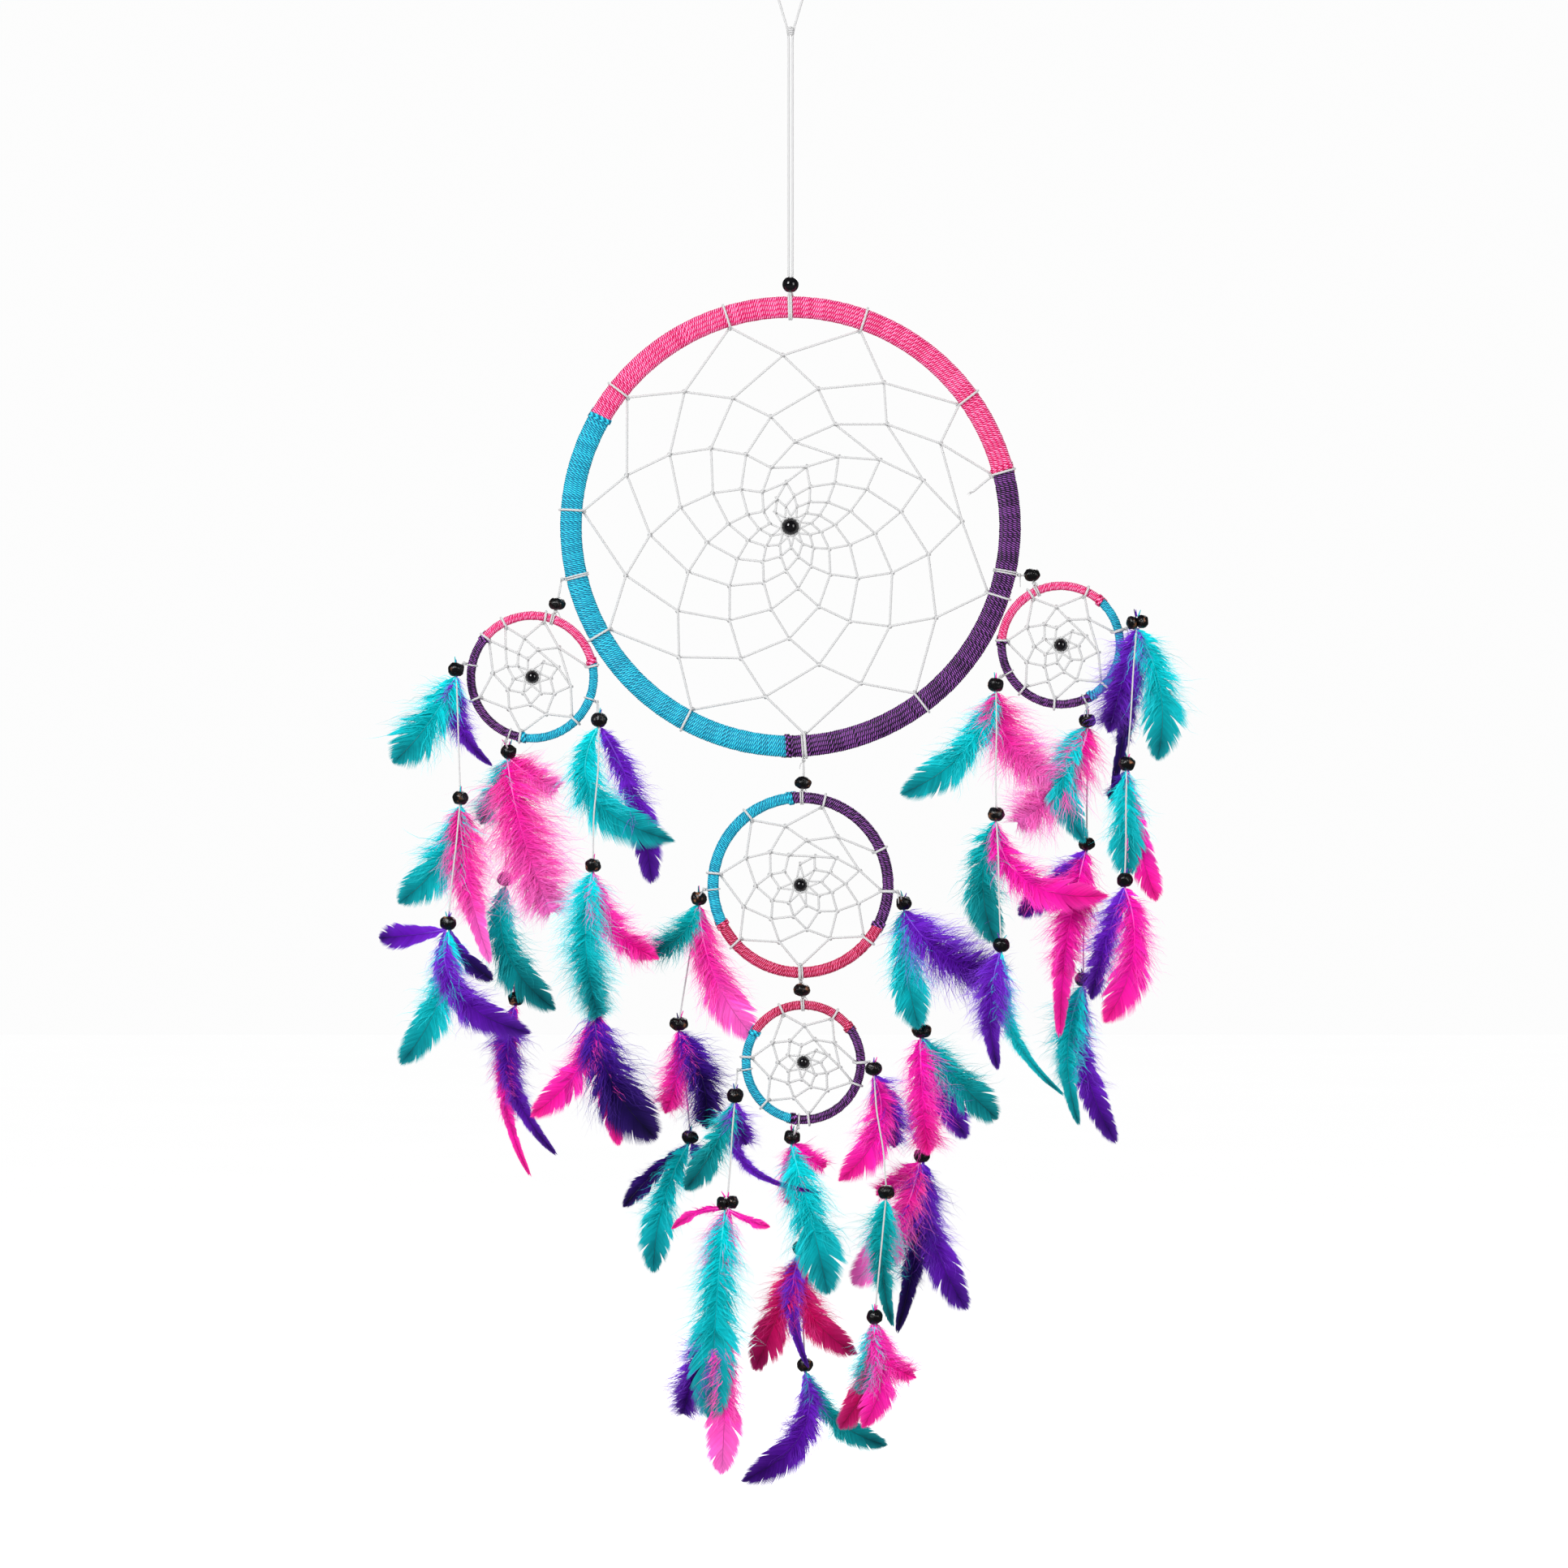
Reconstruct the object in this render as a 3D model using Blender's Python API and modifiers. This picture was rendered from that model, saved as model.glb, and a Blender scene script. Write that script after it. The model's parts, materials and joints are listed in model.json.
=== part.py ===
"""Dream catcher: a large bound hoop on a hanging cord, four small hoops below it, and feathered strings.

World frame: +Z up, the front faces -Y, the origin is the seat inside the top of the hanging loop.
Design coordinates below are millimetres, (x, z) from the centre of the main hoop, y from its plane.
"""
from collections import namedtuple
from math import asin, cos, pi, radians, sin

import bmesh
import bpy
from mathutils import Matrix, Vector

MM = 0.001
HOOK_HEIGHT = 259.0        # hook seat above the centre of the main hoop

GAP = 0.3                  # clearance between pieces that touch
WRAP_WALL = 0.8            # thickness of the bound thread
SEAM = 0.5                 # width of the slit where a binding starts and ends
FLAT_SHARE = 0.66          # width of a hoop's flat front and back, as a share of the whole
WEB_CORD = 0.5             # radii of the cords
STRING_CORD = 0.45
HANGER_CORD = 0.6
WEB_LAYER = 0.64           # half the spacing in y of two web cords that hook each other
WEB_TWIST = 3.8            # degrees that each web row leans on round the hoop
RIM_SHOULDER = 0.8         # a loop of cord turns on to the hoop's face this far in from its rim
TAIL_END = 1.2             # the web's tail runs this far beyond its bead on either side
HITCH_SPREAD = 0.75        # half the spacing in y of the two cords between the top bead and the rim
HITCH_RISE = 1.4           # they part this far above the rim
LINK_RISE = 1.6            # a link's cord parts this far above the rim of its small hoop

GLOSS_BEAD = 3.9           # radius of the polished beads at the hanger and in the main web
GLOSS_BORE = 1.65
WEB_BORE_SLACK = 0.1       # a web bead's bore is this much wider than the usual gap round its cord
BEAD_ARCS = 5              # straight steps in the profile of a polished bead, and its sides
BEAD_SIDES = 10
BEAD_RISE = 1.6            # gap between the main rim and the top bead
HANGER_FOOT = 1.0          # the hanging cord ends this far above the middle of the top bead
HITCH_FOOT = 0.6           # and the hitch this far below it
CARVED_BEAD = 4.0          # radius of a carved string bead
STRING_OFFSET = 10.0       # strings hang in front of or behind the hoops by this much
FEATHER_HALF = 0.45        # half the thickness of a feather solid
FEATHER_STEP = 0.12        # y step from one feather of a tuft to the next
QUILL = 0.9                # radius of the quill bundle that ties a tuft to its bead
QUILL_END = 0.2            # the bundle ends this far beyond the face of the last feather
ROOT_RISE = 0.37           # feathers start this far above the middle of the quill bundle
LEAF = ((0.0, 0.16), (0.25, 0.45), (0.62, 1.0), (0.9, 0.66), (1.0, 0.15))   # shares of length and of width
LEAF_STEP = 0.02           # share of the length over which a quill's direction is taken

EYE_RADIUS = 6.0           # hanging loop at the very top
EYE_NECK = 18.0
EYE_START, EYE_STEP, EYE_COUNT = -10.0, 20.0, 11   # degrees of the points round the loop
SEAT_LENGTH = 3.0          # flat inside the top of the loop
SEAT_CUT = 0.12
SEAT_BLOCK = 2.0

CAP_WELD = 1e-5            # metres: for the caps of a swept curve, for a boolean result, for a turned seam
CUT_WELD = 2e-7
TURN_WELD = 5e-5
SHARP_ANGLE = 35

Hoop = namedtuple("Hoop", "x z radius band depth segments anchors rows bead")
HOOPS = {
    "main": Hoop(0.0, 0.0, 110.0, 10.5, 5.0, 48,
                 (14.5, 36.0, 70.5, 107.0, 141.7, 175.8, 209.6, 241.7, 274.0, 306.8, 341.6),
                 (1.0, 0.83, 0.68, 0.54, 0.41, 0.30, 0.215, 0.15), GLOSS_BEAD),
    "left": Hoop(-123.2, -71.7, 31.4, 4.3, 3.8, 24,
                 (10.5, 78.0, 118.0, 140.0, 201.7, 258.7, 315.0), (1.0, 0.72, 0.50, 0.33), 3.0),
    "right": Hoop(129.0, -56.5, 30.4, 4.3, 3.8, 24,
                  (14.0, 64.5, 121.0, 176.0, 229.8, 264.0, 317.7), (1.0, 0.72, 0.50, 0.33), 3.0),
    "middle": Hoop(4.8, -171.0, 44.5, 5.5, 4.0, 28,
                   (24.0, 74.5, 127.0, 172.5, 222.0, 269.5, 321.0, 356.0),
                   (1.0, 0.76, 0.56, 0.40, 0.26), 3.0),
    "bottom": Hoop(6.2, -255.6, 29.6, 4.5, 3.8, 24,
                   (0.0, 57.0, 113.0, 175.0, 227.0, 275.5, 338.0), (1.0, 0.72, 0.50, 0.33), 2.8),
}

WRAP_COLOURS = {"main": "pink", "left": "violet", "right": "violet", "middle": "turquoise", "bottom": "pink"}

Link = namedtuple("Link", "upper upper_angle lower_angle bead")
LINKS = {
    "left": Link("main", 193.0, 70.5, (-111.4, -36.8)),
    "right": Link("main", -12.0, 113.5, (115.2, -23.0)),
    "middle": Link("main", 273.2, 89.0, (6.0, -122.2)),
    "bottom": Link("middle", 270.2, 90.5, (5.4, -221.0)),
}
LINK_BEAD = (3.9, 3.9, 3.3)

# A string hangs from a hoop at an angle, in front (-1) or behind (+1), with its tufts `reach` off the cord.
# A feather is (lean at its root, lean of its tip, length, width): degrees from straight down, +X positive.
String = namedtuple("String", "hoop angle side reach beads tufts colours")
CYAN, TEAL, PINK, VIOLET, NIGHT = "turquoise", "teal", "pink", "violet", "dark_violet"
STRINGS = {
    "left_outer": String("left", 168.7, -1, 6.1, ((-159.2, -68.2), (-157.2, -129.4), (-163.1, -189.0)), (
        ((-25, -31, 44, 12), (2, 21, 42, 8)),
        ((-18, -31, 50, 12), (10, 13, 66, 11)),
        ((-82, -83, 30, 8), (-6, -20, 62, 12), (15, 44, 56, 10))), (CYAN, PINK, VIOLET)),
    "left_centre": String("left", 247.6, 1, 4.9, ((-134.8, -107.3), (-136.3, -168.1), (-131.3, -225.4)), (
        ((-23, -23, 34, 9), (12, 20, 66, 14)),
        ((4, 23, 60, 12),),
        ((4, 16, 70, 11), (-6, 5, 74, 8))), (PINK, TEAL, VIOLET)),
    "left_inner": String("left", 338.7, -1, 4.9, ((-91.2, -92.2), (-94.1, -161.5), (-92.6, -226.6)), (
        ((-12, 36, 60, 13), (22, 24, 60, 10)),
        ((-2, 3, 62, 13), (18, 36, 50, 10)),
        ((-18, -32, 58, 10), (18, 26, 64, 14))), (TEAL, CYAN, NIGHT)),
    "right_inner": String("right", 207.7, -1, 6.1, ((97.8, -75.5), (98.0, -137.1), (100.3, -199.5)), (
        ((-30, -41, 62, 12), (12, 32, 42, 14)),
        ((-13, 0, 54, 10), (30, 56, 54, 10)),
        ((-12, 0, 50, 10), (12, 24, 66, 8))), (CYAN, PINK, CYAN)),
    "right_centre": String("right", 293.0, 1, 4.9, ((142.0, -92.4), (141.7, -151.4), (140.0, -216.1)), (
        ((-22, 0, 50, 10), (-29, -34, 52, 14)),
        ((-50, -46, 42, 11), (-12, -8, 80, 12)),
        ((-14, -1, 60, 10), (0, 14, 68, 8))), (PINK, PINK, CYAN)),
    "right_outer": String("right", 14.0, -1, 4.9, ((165.0, -45.7), (160.3, -113.1), (159.2, -168.5)), (
        ((18, 10, 60, 14), (-12, -15, 64, 12)),
        ((2, 0, 48, 12), (10, 14, 56, 7)),
        ((7, -10, 60, 12), (-20, -18, 52, 9))), (CYAN, TEAL, PINK)),
    "middle_left": String("middle", 182.6, 1, 6.1, ((-43.8, -177.4), (-53.4, -237.4), (-48.0, -291.6)), (
        ((-31, -46, 32, 9), (9, 24, 64, 13)),
        ((-2, -9, 38, 10), (32, 14, 46, 12)),
        ((-53, -46, 44, 9), (-25, -15, 60, 11))), (PINK, NIGHT, CYAN)),
    "middle_right": String("middle", 356.0, 1, 6.1, ((54.2, -179.7), (62.7, -240.9), (62.7, -300.5)), (
        ((40, 55, 52, 13), (4, 6, 54, 10)),
        ((2, 2, 48, 13), (40, 43, 50, 11)),
        ((-22, -29, 60, 12), (-6, -9, 74, 12), (8, 17, 66, 11))), (VIOLET, PINK, NIGHT)),
    "bottom_left": String("bottom", 186.7, -1, 6.1, ((-26.3, -271.1), (-30.2, -322.2), (-32.5, -376.1)), (
        ((-24, -28, 44, 10), (12, 42, 54, 7)),
        ((-80, -70, 26, 6), (60, 64, 20, 6), (-6, -4, 92, 16)),
        ((2, 0, 68, 11), (-30, -23, 44, 11))), (NIGHT, CYAN, PINK)),
    "bottom_centre": String("bottom", 265.0, 1, 4.9, ((0.8, -291.6), (5.0, -344.7), (7.0, -400.5)), (
        ((14, 15, 68, 14), (58, 60, 20, 7)),
        ((-25, -21, 54, 11), (-5, 5, 47, 8), (12, 31, 48, 10)),
        ((-12, -31, 58, 10), (26, 48, 48, 9))), (TEAL, PINK, VIOLET)),
    "bottom_right": String("bottom", 0.0, -1, 4.9, ((39.5, -258.3), (45.7, -317.2), (40.1, -376.5)), (
        ((-4, -22, 50, 10), (26, 14, 34, 9)),
        ((-2, 3, 54, 12),),
        ((18, 38, 34, 9), (8, -8, 46, 11), (-8, -20, 48, 9))), (PINK, TEAL, PINK)),
}

COLOURS = {
    "cord": (0.86, 0.86, 0.84), "gloss_black": (0.01, 0.01, 0.01), "carved_wood": (0.035, 0.022, 0.02),
    "ring": (0.45, 0.33, 0.2), "pink": (0.95, 0.1, 0.45), "violet": (0.22, 0.06, 0.6),
    "dark_violet": (0.06, 0.02, 0.2), "turquoise": (0.02, 0.6, 0.65), "teal": (0.01, 0.28, 0.3),
}
FINISH = {"gloss_black": (0.08, 0.0), "carved_wood": (0.6, 0.0)}


# ---------------------------------------------------------------- scene and small helpers

def clear_scene():
    for obj in list(bpy.data.objects):
        bpy.data.objects.remove(obj, do_unlink=True)


def collection(name):
    made = bpy.data.collections.new(name)
    bpy.context.scene.collection.children.link(made)
    return made


def material(name):
    mat = bpy.data.materials.get(name) or bpy.data.materials.new(name)
    mat.use_nodes = True
    shader = mat.node_tree.nodes["Principled BSDF"]
    roughness, metallic = FINISH.get(name, (0.75, 0.0))
    shader.inputs["Base Color"].default_value = (*COLOURS[name], 1.0)
    shader.inputs["Roughness"].default_value = roughness
    shader.inputs["Metallic"].default_value = metallic
    return mat


def world(x, z, y=0.0):
    """Design millimetres to world metres."""
    return Vector((x, y, z - HOOK_HEIGHT)) * MM


def polar(hoop, radius, angle, y=0.0):
    """A design point at a radius and an angle of a hoop."""
    return Vector((hoop.x + radius * cos(radians(angle)), y, hoop.z + radius * sin(radians(angle))))


def new_object(name, data, location=(0.0, 0.0, 0.0)):
    obj = bpy.data.objects.new(name, data)
    obj.location = location
    parts.objects.link(obj)
    return obj


def mesh_object(name, bm, location=(0.0, 0.0, 0.0)):
    mesh = bpy.data.meshes.new(name)
    bm.to_mesh(mesh)
    bm.free()
    return new_object(name, mesh, location)


def evaluated_mesh(obj, weld=CAP_WELD):
    """The object's mesh after its modifiers, with the loose caps of a curve welded."""
    depsgraph = bpy.context.evaluated_depsgraph_get()
    mesh = bpy.data.meshes.new_from_object(obj.evaluated_get(depsgraph), depsgraph=depsgraph)
    bm = bmesh.new()
    bm.from_mesh(mesh)
    bmesh.ops.remove_doubles(bm, verts=bm.verts, dist=weld)
    bm.to_mesh(mesh)
    bm.free()
    return mesh


def tube(name, points, radius, origin, resolution=0):
    """A cord along design points, as a mesh with welded caps around the given origin."""
    curve = bpy.data.curves.new(name, "CURVE")
    curve.dimensions = "3D"
    curve.bevel_depth = radius * MM
    curve.bevel_resolution = resolution
    curve.use_fill_caps = True
    spline = curve.splines.new("POLY")
    spline.points.add(len(points) - 1)
    for target, point in zip(spline.points, points):
        target.co = (*(world(point.x, point.z, point.y) - origin), 1.0)
    shaped = new_object(name + "_path", curve)
    mesh = evaluated_mesh(shaped)
    bpy.data.objects.remove(shaped, do_unlink=True)
    return new_object(name, mesh, origin)


def combine(obj, others, operation="UNION"):
    """Boolean the others into obj, apply the result and remove them."""
    for other in others:
        boolean = obj.modifiers.new("join", "BOOLEAN")
        boolean.operation = operation
        boolean.object = other
    bpy.context.view_layer.update()
    obj.data = evaluated_mesh(obj, weld=CUT_WELD)
    obj.modifiers.clear()
    for other in others:
        bpy.data.objects.remove(other, do_unlink=True)
    return obj


def set_under(obj, pivot):
    """Parent to a pivot whose location is already in world coordinates, keeping obj where it is."""
    obj.parent = pivot
    obj.matrix_parent_inverse = Matrix.Translation(-pivot.location)


def pivot_empty(name, location, parent=None):
    """An empty on a joint's axis, under the pivot above it."""
    empty = bpy.data.objects.new(name, None)
    empty.empty_display_size = 0.01
    empty.location = location
    parts.objects.link(empty)
    if parent is not None:
        set_under(empty, parent)
    return empty


def finish(obj, colour, pivot):
    """Give the piece its own material and smooth shading, and hang it under its pivot."""
    own = material(colour).copy()
    own.name = obj.name + "_" + colour
    obj.data.materials.clear()
    obj.data.materials.append(own)
    obj.data.shade_smooth()
    obj.data.set_sharp_from_angle(angle=radians(SHARP_ANGLE))
    if pivot is not None:
        set_under(obj, pivot)
    return obj


# ---------------------------------------------------------------- hoops

def oval_section(half_width, half_depth):
    """Six corners of a flattened oval with flat faces at +depth and -depth, running down its outer side."""
    flat = half_width * FLAT_SHARE
    return [(half_width, 0.0), (flat, -half_depth), (-flat, -half_depth),
            (-half_width, 0.0), (-flat, half_depth), (flat, half_depth)]


def swept_ring(name, hoop, half_width, half_depth, seam):
    """An oval section turned about the hoop's own axis, open at the top by the width of its seam."""
    middle = hoop.radius - hoop.band / 2
    bm = bmesh.new()
    corners = [bm.verts.new(((middle + u) * MM, 0.0, v * MM))
               for u, v in oval_section(half_width, half_depth)]
    for first, second in zip(corners, corners[1:] + corners[:1]):
        bm.edges.new((first, second))
    ring = mesh_object(name, bm, world(hoop.x, hoop.z))
    opening = seam / middle
    ring.rotation_euler = (Matrix.Rotation(pi / 2, 4, "X")
                           @ Matrix.Rotation(pi / 2 + opening / 2, 4, "Z")).to_euler()
    screw = ring.modifiers.new("turn", "SCREW")
    screw.axis = "Z"
    screw.angle = 2 * pi - opening
    screw.steps = screw.render_steps = hoop.segments
    screw.use_merge_vertices = seam == 0.0
    screw.merge_threshold = TURN_WELD
    return ring


def ring_core(name, hoop):
    """The bare hoop inside the binding."""
    inset = WRAP_WALL + GAP
    return swept_ring(name, hoop, hoop.band / 2 - inset, hoop.depth / 2 - inset, 0.0)


def thread_wrap(name, hoop):
    """The binding: a tubular shell round the hoop, with a slit where the thread starts and ends."""
    wrap = swept_ring(name, hoop, hoop.band / 2, hoop.depth / 2, SEAM)
    shell = wrap.modifiers.new("thread thickness", "SOLIDIFY")
    shell.thickness = WRAP_WALL * MM
    shell.offset = -1.0
    shell.use_even_offset = True
    return wrap


def web_knots(hoop):
    """(radius, angle) of each knot: one on every anchor, then each lap between the knots of the last one."""
    inner = hoop.radius - hoop.band - WEB_CORD - GAP
    laps = [hoop.anchors]
    for _ in hoop.rows[1:]:
        last = laps[-1]
        following = (*last[1:], last[0] + 360.0)
        laps.append([(a + b) / 2 + WEB_TWIST for a, b in zip(last, following)])
    return [(inner * row, angle) for row, angles in zip(hoop.rows, laps) for angle in angles]


def band_loop(hoop, angle):
    """Points of a cord that goes once round the bound hoop, entering in front of its exit."""
    outer = hoop.radius + GAP + WEB_CORD
    inner = hoop.radius - hoop.band - GAP - WEB_CORD
    face = hoop.depth / 2 + GAP + WEB_CORD
    return [polar(hoop, inner, angle, -WEB_LAYER), polar(hoop, inner + RIM_SHOULDER, angle, -face),
            polar(hoop, outer - RIM_SHOULDER, angle, -face), polar(hoop, outer, angle, 0.0),
            polar(hoop, outer - RIM_SHOULDER, angle, face), polar(hoop, inner + RIM_SHOULDER, angle, face),
            polar(hoop, inner, angle, WEB_LAYER)]


def web(name, hoop):
    """One cord: a loop round the hoop at each anchor, laps that hook the lap before, a tail in the bead."""
    knots = web_knots(hoop)
    count = len(hoop.anchors)
    points = []
    for j, (radius, angle) in enumerate(knots):
        points += band_loop(hoop, angle) if j < count else [polar(hoop, radius, angle, WEB_LAYER)]
        if j + count < len(knots):
            hooked_radius, hooked_angle = knots[j + count]
            points.append(polar(hoop, hooked_radius, hooked_angle, -WEB_LAYER))
    tail_angle = knots[-1][1]
    points += [polar(hoop, hoop.bead + TAIL_END, tail_angle), polar(hoop, -hoop.bead - TAIL_END, tail_angle)]
    return tube(name, points, WEB_CORD, world(hoop.x, hoop.z))


def turned_bead(name, radius, bore, location, axis_rotation):
    """A polished ball with a drilled bore along its local Z."""
    bm = bmesh.new()
    rim = asin(bore / radius)
    angles = [rim + (pi - 2 * rim) * i / BEAD_ARCS for i in range(BEAD_ARCS + 1)]
    profile = [bm.verts.new((radius * sin(a) * MM, 0.0, radius * cos(a) * MM)) for a in angles]
    for first, second in zip(profile, profile[1:] + profile[:1]):
        bm.edges.new((first, second))
    bead = mesh_object(name, bm, location)
    bead.rotation_euler = axis_rotation.to_euler()
    screw = bead.modifiers.new("turn", "SCREW")
    screw.axis = "Z"
    screw.steps = screw.render_steps = BEAD_SIDES
    screw.use_merge_vertices = True
    screw.merge_threshold = TURN_WELD
    return bead


def web_bead(name, hoop):
    """The bead in the middle of the web, bored along the cord's tail."""
    tail_angle = web_knots(hoop)[-1][1]
    along_tail = Matrix.Rotation(radians(-tail_angle), 4, "Y") @ Matrix.Rotation(pi / 2, 4, "Y")
    return turned_bead(name, hoop.bead, WEB_CORD + GAP + WEB_BORE_SLACK, world(hoop.x, hoop.z), along_tail)


def build_hoop(name, pivot):
    hoop = HOOPS[name]
    finish(ring_core(name + "_ring", hoop), "ring", pivot)
    finish(thread_wrap(name + "_wrap", hoop), WRAP_COLOURS[name], pivot)
    finish(web(name + "_web", hoop), "cord", pivot)
    finish(web_bead(name + "_web_bead", hoop), "gloss_black", pivot)


# ---------------------------------------------------------------- hanging cord and links

def top_bead_height():
    return HOOPS["main"].radius + GLOSS_BEAD + BEAD_RISE


def hanger_cord():
    """The doubled cord from the top bead up to the hook, with a flat seat inside the top of its loop."""
    half = HANGER_CORD + GAP / 2
    top = HOOK_HEIGHT + HANGER_CORD - SEAT_CUT
    centre = top - EYE_RADIUS
    foot = top_bead_height() + HANGER_FOOT
    arc = [Vector((EYE_RADIUS * cos(a), 0.0, centre + EYE_RADIUS * sin(a)))
           for a in (radians(EYE_START + EYE_STEP * i) for i in range(EYE_COUNT))]
    neck = centre - EYE_NECK
    points = [Vector((half, 0.0, foot)), Vector((half, 0.0, neck)), *arc,
              Vector((-half, 0.0, neck)), Vector((-half, 0.0, foot))]
    cord = tube("hanger_cord", points, HANGER_CORD, world(0.0, HOOK_HEIGHT), resolution=1)
    bpy.ops.mesh.primitive_cube_add(size=1.0, location=world(0.0, HOOK_HEIGHT - SEAT_BLOCK / 2))
    block = bpy.context.object
    block.scale = (SEAT_LENGTH * MM, 2 * HANGER_CORD * MM, SEAT_BLOCK * MM)
    return combine(cord, [block], "DIFFERENCE")


def hanger_hitch():
    """The cord from the top bead round the main hoop's rim and back up into the bead."""
    hoop = HOOPS["main"]
    loop = band_loop(hoop, 90.0)
    top, parting = top_bead_height() - HITCH_FOOT, hoop.radius + HITCH_RISE
    front = [Vector((0.0, -HITCH_SPREAD, top)), Vector((0.0, -HITCH_SPREAD, parting)),
             *reversed(loop[1:3]), loop[0]]
    back = [loop[-1], *reversed(loop[4:6]), Vector((0.0, HITCH_SPREAD, parting)),
            Vector((0.0, HITCH_SPREAD, top))]
    return tube("hanger_hitch", front + back, WEB_CORD, world(0.0, hoop.radius))


def carved_bead(name, centre, size, origin):
    """A rough bead: a ball with a few flats."""
    bm = bmesh.new()
    bmesh.ops.create_icosphere(bm, subdivisions=1, radius=MM)
    bmesh.ops.scale(bm, vec=size, verts=bm.verts)
    bmesh.ops.translate(bm, vec=world(centre.x, centre.z, centre.y) - origin, verts=bm.verts)
    return mesh_object(name, bm, origin)


def knot_point(hoop, angle):
    """Where a hanging cord starts: just outside the cord loops on the hoop's rim."""
    return polar(hoop, hoop.radius + 2 * GAP + 2 * WEB_CORD + STRING_CORD, angle)


def link_pivot(name):
    return knot_point(HOOPS[LINKS[name].upper], LINKS[name].upper_angle)


def build_link(name, pivot):
    """A cord from the hoop above, through a carved bead, round the rim of the small hoop."""
    link = LINKS[name]
    hoop = HOOPS[name]
    start = link_pivot(name)
    bead = Vector((link.bead[0], 0.0, link.bead[1]))
    loop = band_loop(hoop, link.lower_angle)
    above = polar(hoop, hoop.radius + LINK_RISE, link.lower_angle)
    front = [above + Vector((0.0, -WEB_LAYER, 0.0)), *reversed(loop[1:3]), loop[0]]
    back = [loop[-1], *reversed(loop[4:6]), above + Vector((0.0, WEB_LAYER, 0.0))]
    origin = world(start.x, start.z)
    cord = tube(name + "_link", [start, bead, *front, *back], STRING_CORD, origin)
    finish(combine(cord, [carved_bead("link_ball", bead, LINK_BEAD, origin)]), "carved_wood", pivot)


# ---------------------------------------------------------------- feathered strings

def bezier(start, control, end, t):
    return start * (1 - t) ** 2 + control * 2 * t * (1 - t) + end * t ** 2


def feather_outline(root, feather):
    """A leaf outline along a bent quill, as design (x, z) points."""
    root_lean, tip_lean, length, width = feather
    start = Vector(root)
    control = start + Vector((sin(radians(root_lean)), -cos(radians(root_lean)))) * length * 0.5
    end = start + Vector((sin(radians(tip_lean)), -cos(radians(tip_lean)))) * length
    left, right = [], []
    for t, share in LEAF:
        at = bezier(start, control, end, t)
        along = (bezier(start, control, end, t + LEAF_STEP)
                 - bezier(start, control, end, t - LEAF_STEP)).normalized()
        across = Vector((-along.y, along.x)) * width * share / 2
        left.append(at + across)
        right.append(at - across)
    return left + right[::-1]


def feather_solid(root, feather, layer, origin):
    """A feather as a thin flat leaf that lies in the plane y = layer."""
    curve = bpy.data.curves.new("feather", "CURVE")
    curve.dimensions = "2D"
    curve.fill_mode = "BOTH"
    curve.extrude = FEATHER_HALF * MM
    outline = feather_outline(root, feather)
    spline = curve.splines.new("POLY")
    spline.points.add(len(outline) - 1)
    spline.use_cyclic_u = True
    flat_origin = Vector((origin.x, origin.z))
    for target, point in zip(spline.points, outline):
        spot = world(point.x, point.y)
        target.co = (spot.x - flat_origin.x, spot.z - flat_origin.y, 0.0, 1.0)
    shaped = new_object("feather_outline", curve)
    mesh = evaluated_mesh(shaped)
    bpy.data.objects.remove(shaped, do_unlink=True)
    mesh.transform(Matrix.Translation((0.0, layer * MM - origin.y, 0.0)) @ Matrix.Rotation(pi / 2, 4, "X"))
    return new_object("feather", mesh, origin)


def quill_bundle(bead, layer, origin):
    """The quills' common stub, from inside the bead out to the plane of the feathers."""
    near, far = bead.copy(), bead.copy()
    near.y = bead.y - (QUILL if layer > bead.y else -QUILL)
    far.y = layer
    return tube("quills", [near, far], QUILL, origin)


def build_string(name, hoop_pivot):
    """A string of three beads. Each tuft hinges at the bead above it, the first at its knot on the hoop."""
    string = STRINGS[name]
    hoop = HOOPS[string.hoop]
    side = string.side * STRING_OFFSET
    upper = cord_start = knot_point(hoop, string.angle)
    pivot = hoop_pivot
    for index, (x, z) in enumerate(string.beads):
        bead = Vector((x, side, z))
        origin = world(upper.x, upper.z, upper.y)
        node = f"{name}_drop_{index + 1}"
        pivot = pivot_empty(node + "_pivot", origin, pivot)
        out = -string.side if index == 1 else string.side   # the middle tuft is on the other side of the cord
        layers = [side + out * (string.reach + FEATHER_STEP * k) for k in range(len(string.tufts[index]))]
        ball = carved_bead(node, bead, (CARVED_BEAD,) * 3, origin)
        pieces = [tube("cord", [cord_start, bead], STRING_CORD, origin),
                  quill_bundle(bead, layers[-1] + out * (FEATHER_HALF + QUILL_END), origin)]
        pieces += [feather_solid((x, z + ROOT_RISE), feather, layer, origin)
                   for feather, layer in zip(string.tufts[index], layers)]
        finish(combine(ball, pieces), string.colours[index], pivot)
        if index < 2:
            below = Vector((string.beads[index + 1][0], side, string.beads[index + 1][1]))
            cord_start = bead + (below - bead).normalized() * (CARVED_BEAD + GAP + STRING_CORD)
        upper = bead


# ---------------------------------------------------------------- assembly

clear_scene()
parts = collection("dream_catcher")

finish(hanger_cord(), "cord", None)
main_pivot = pivot_empty("main_pivot", world(0.0, top_bead_height()))
finish(turned_bead("hanger_bead", GLOSS_BEAD, GLOSS_BORE, main_pivot.location.copy(), Matrix.Identity(4)),
       "gloss_black", main_pivot)
finish(hanger_hitch(), "cord", main_pivot)

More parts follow.
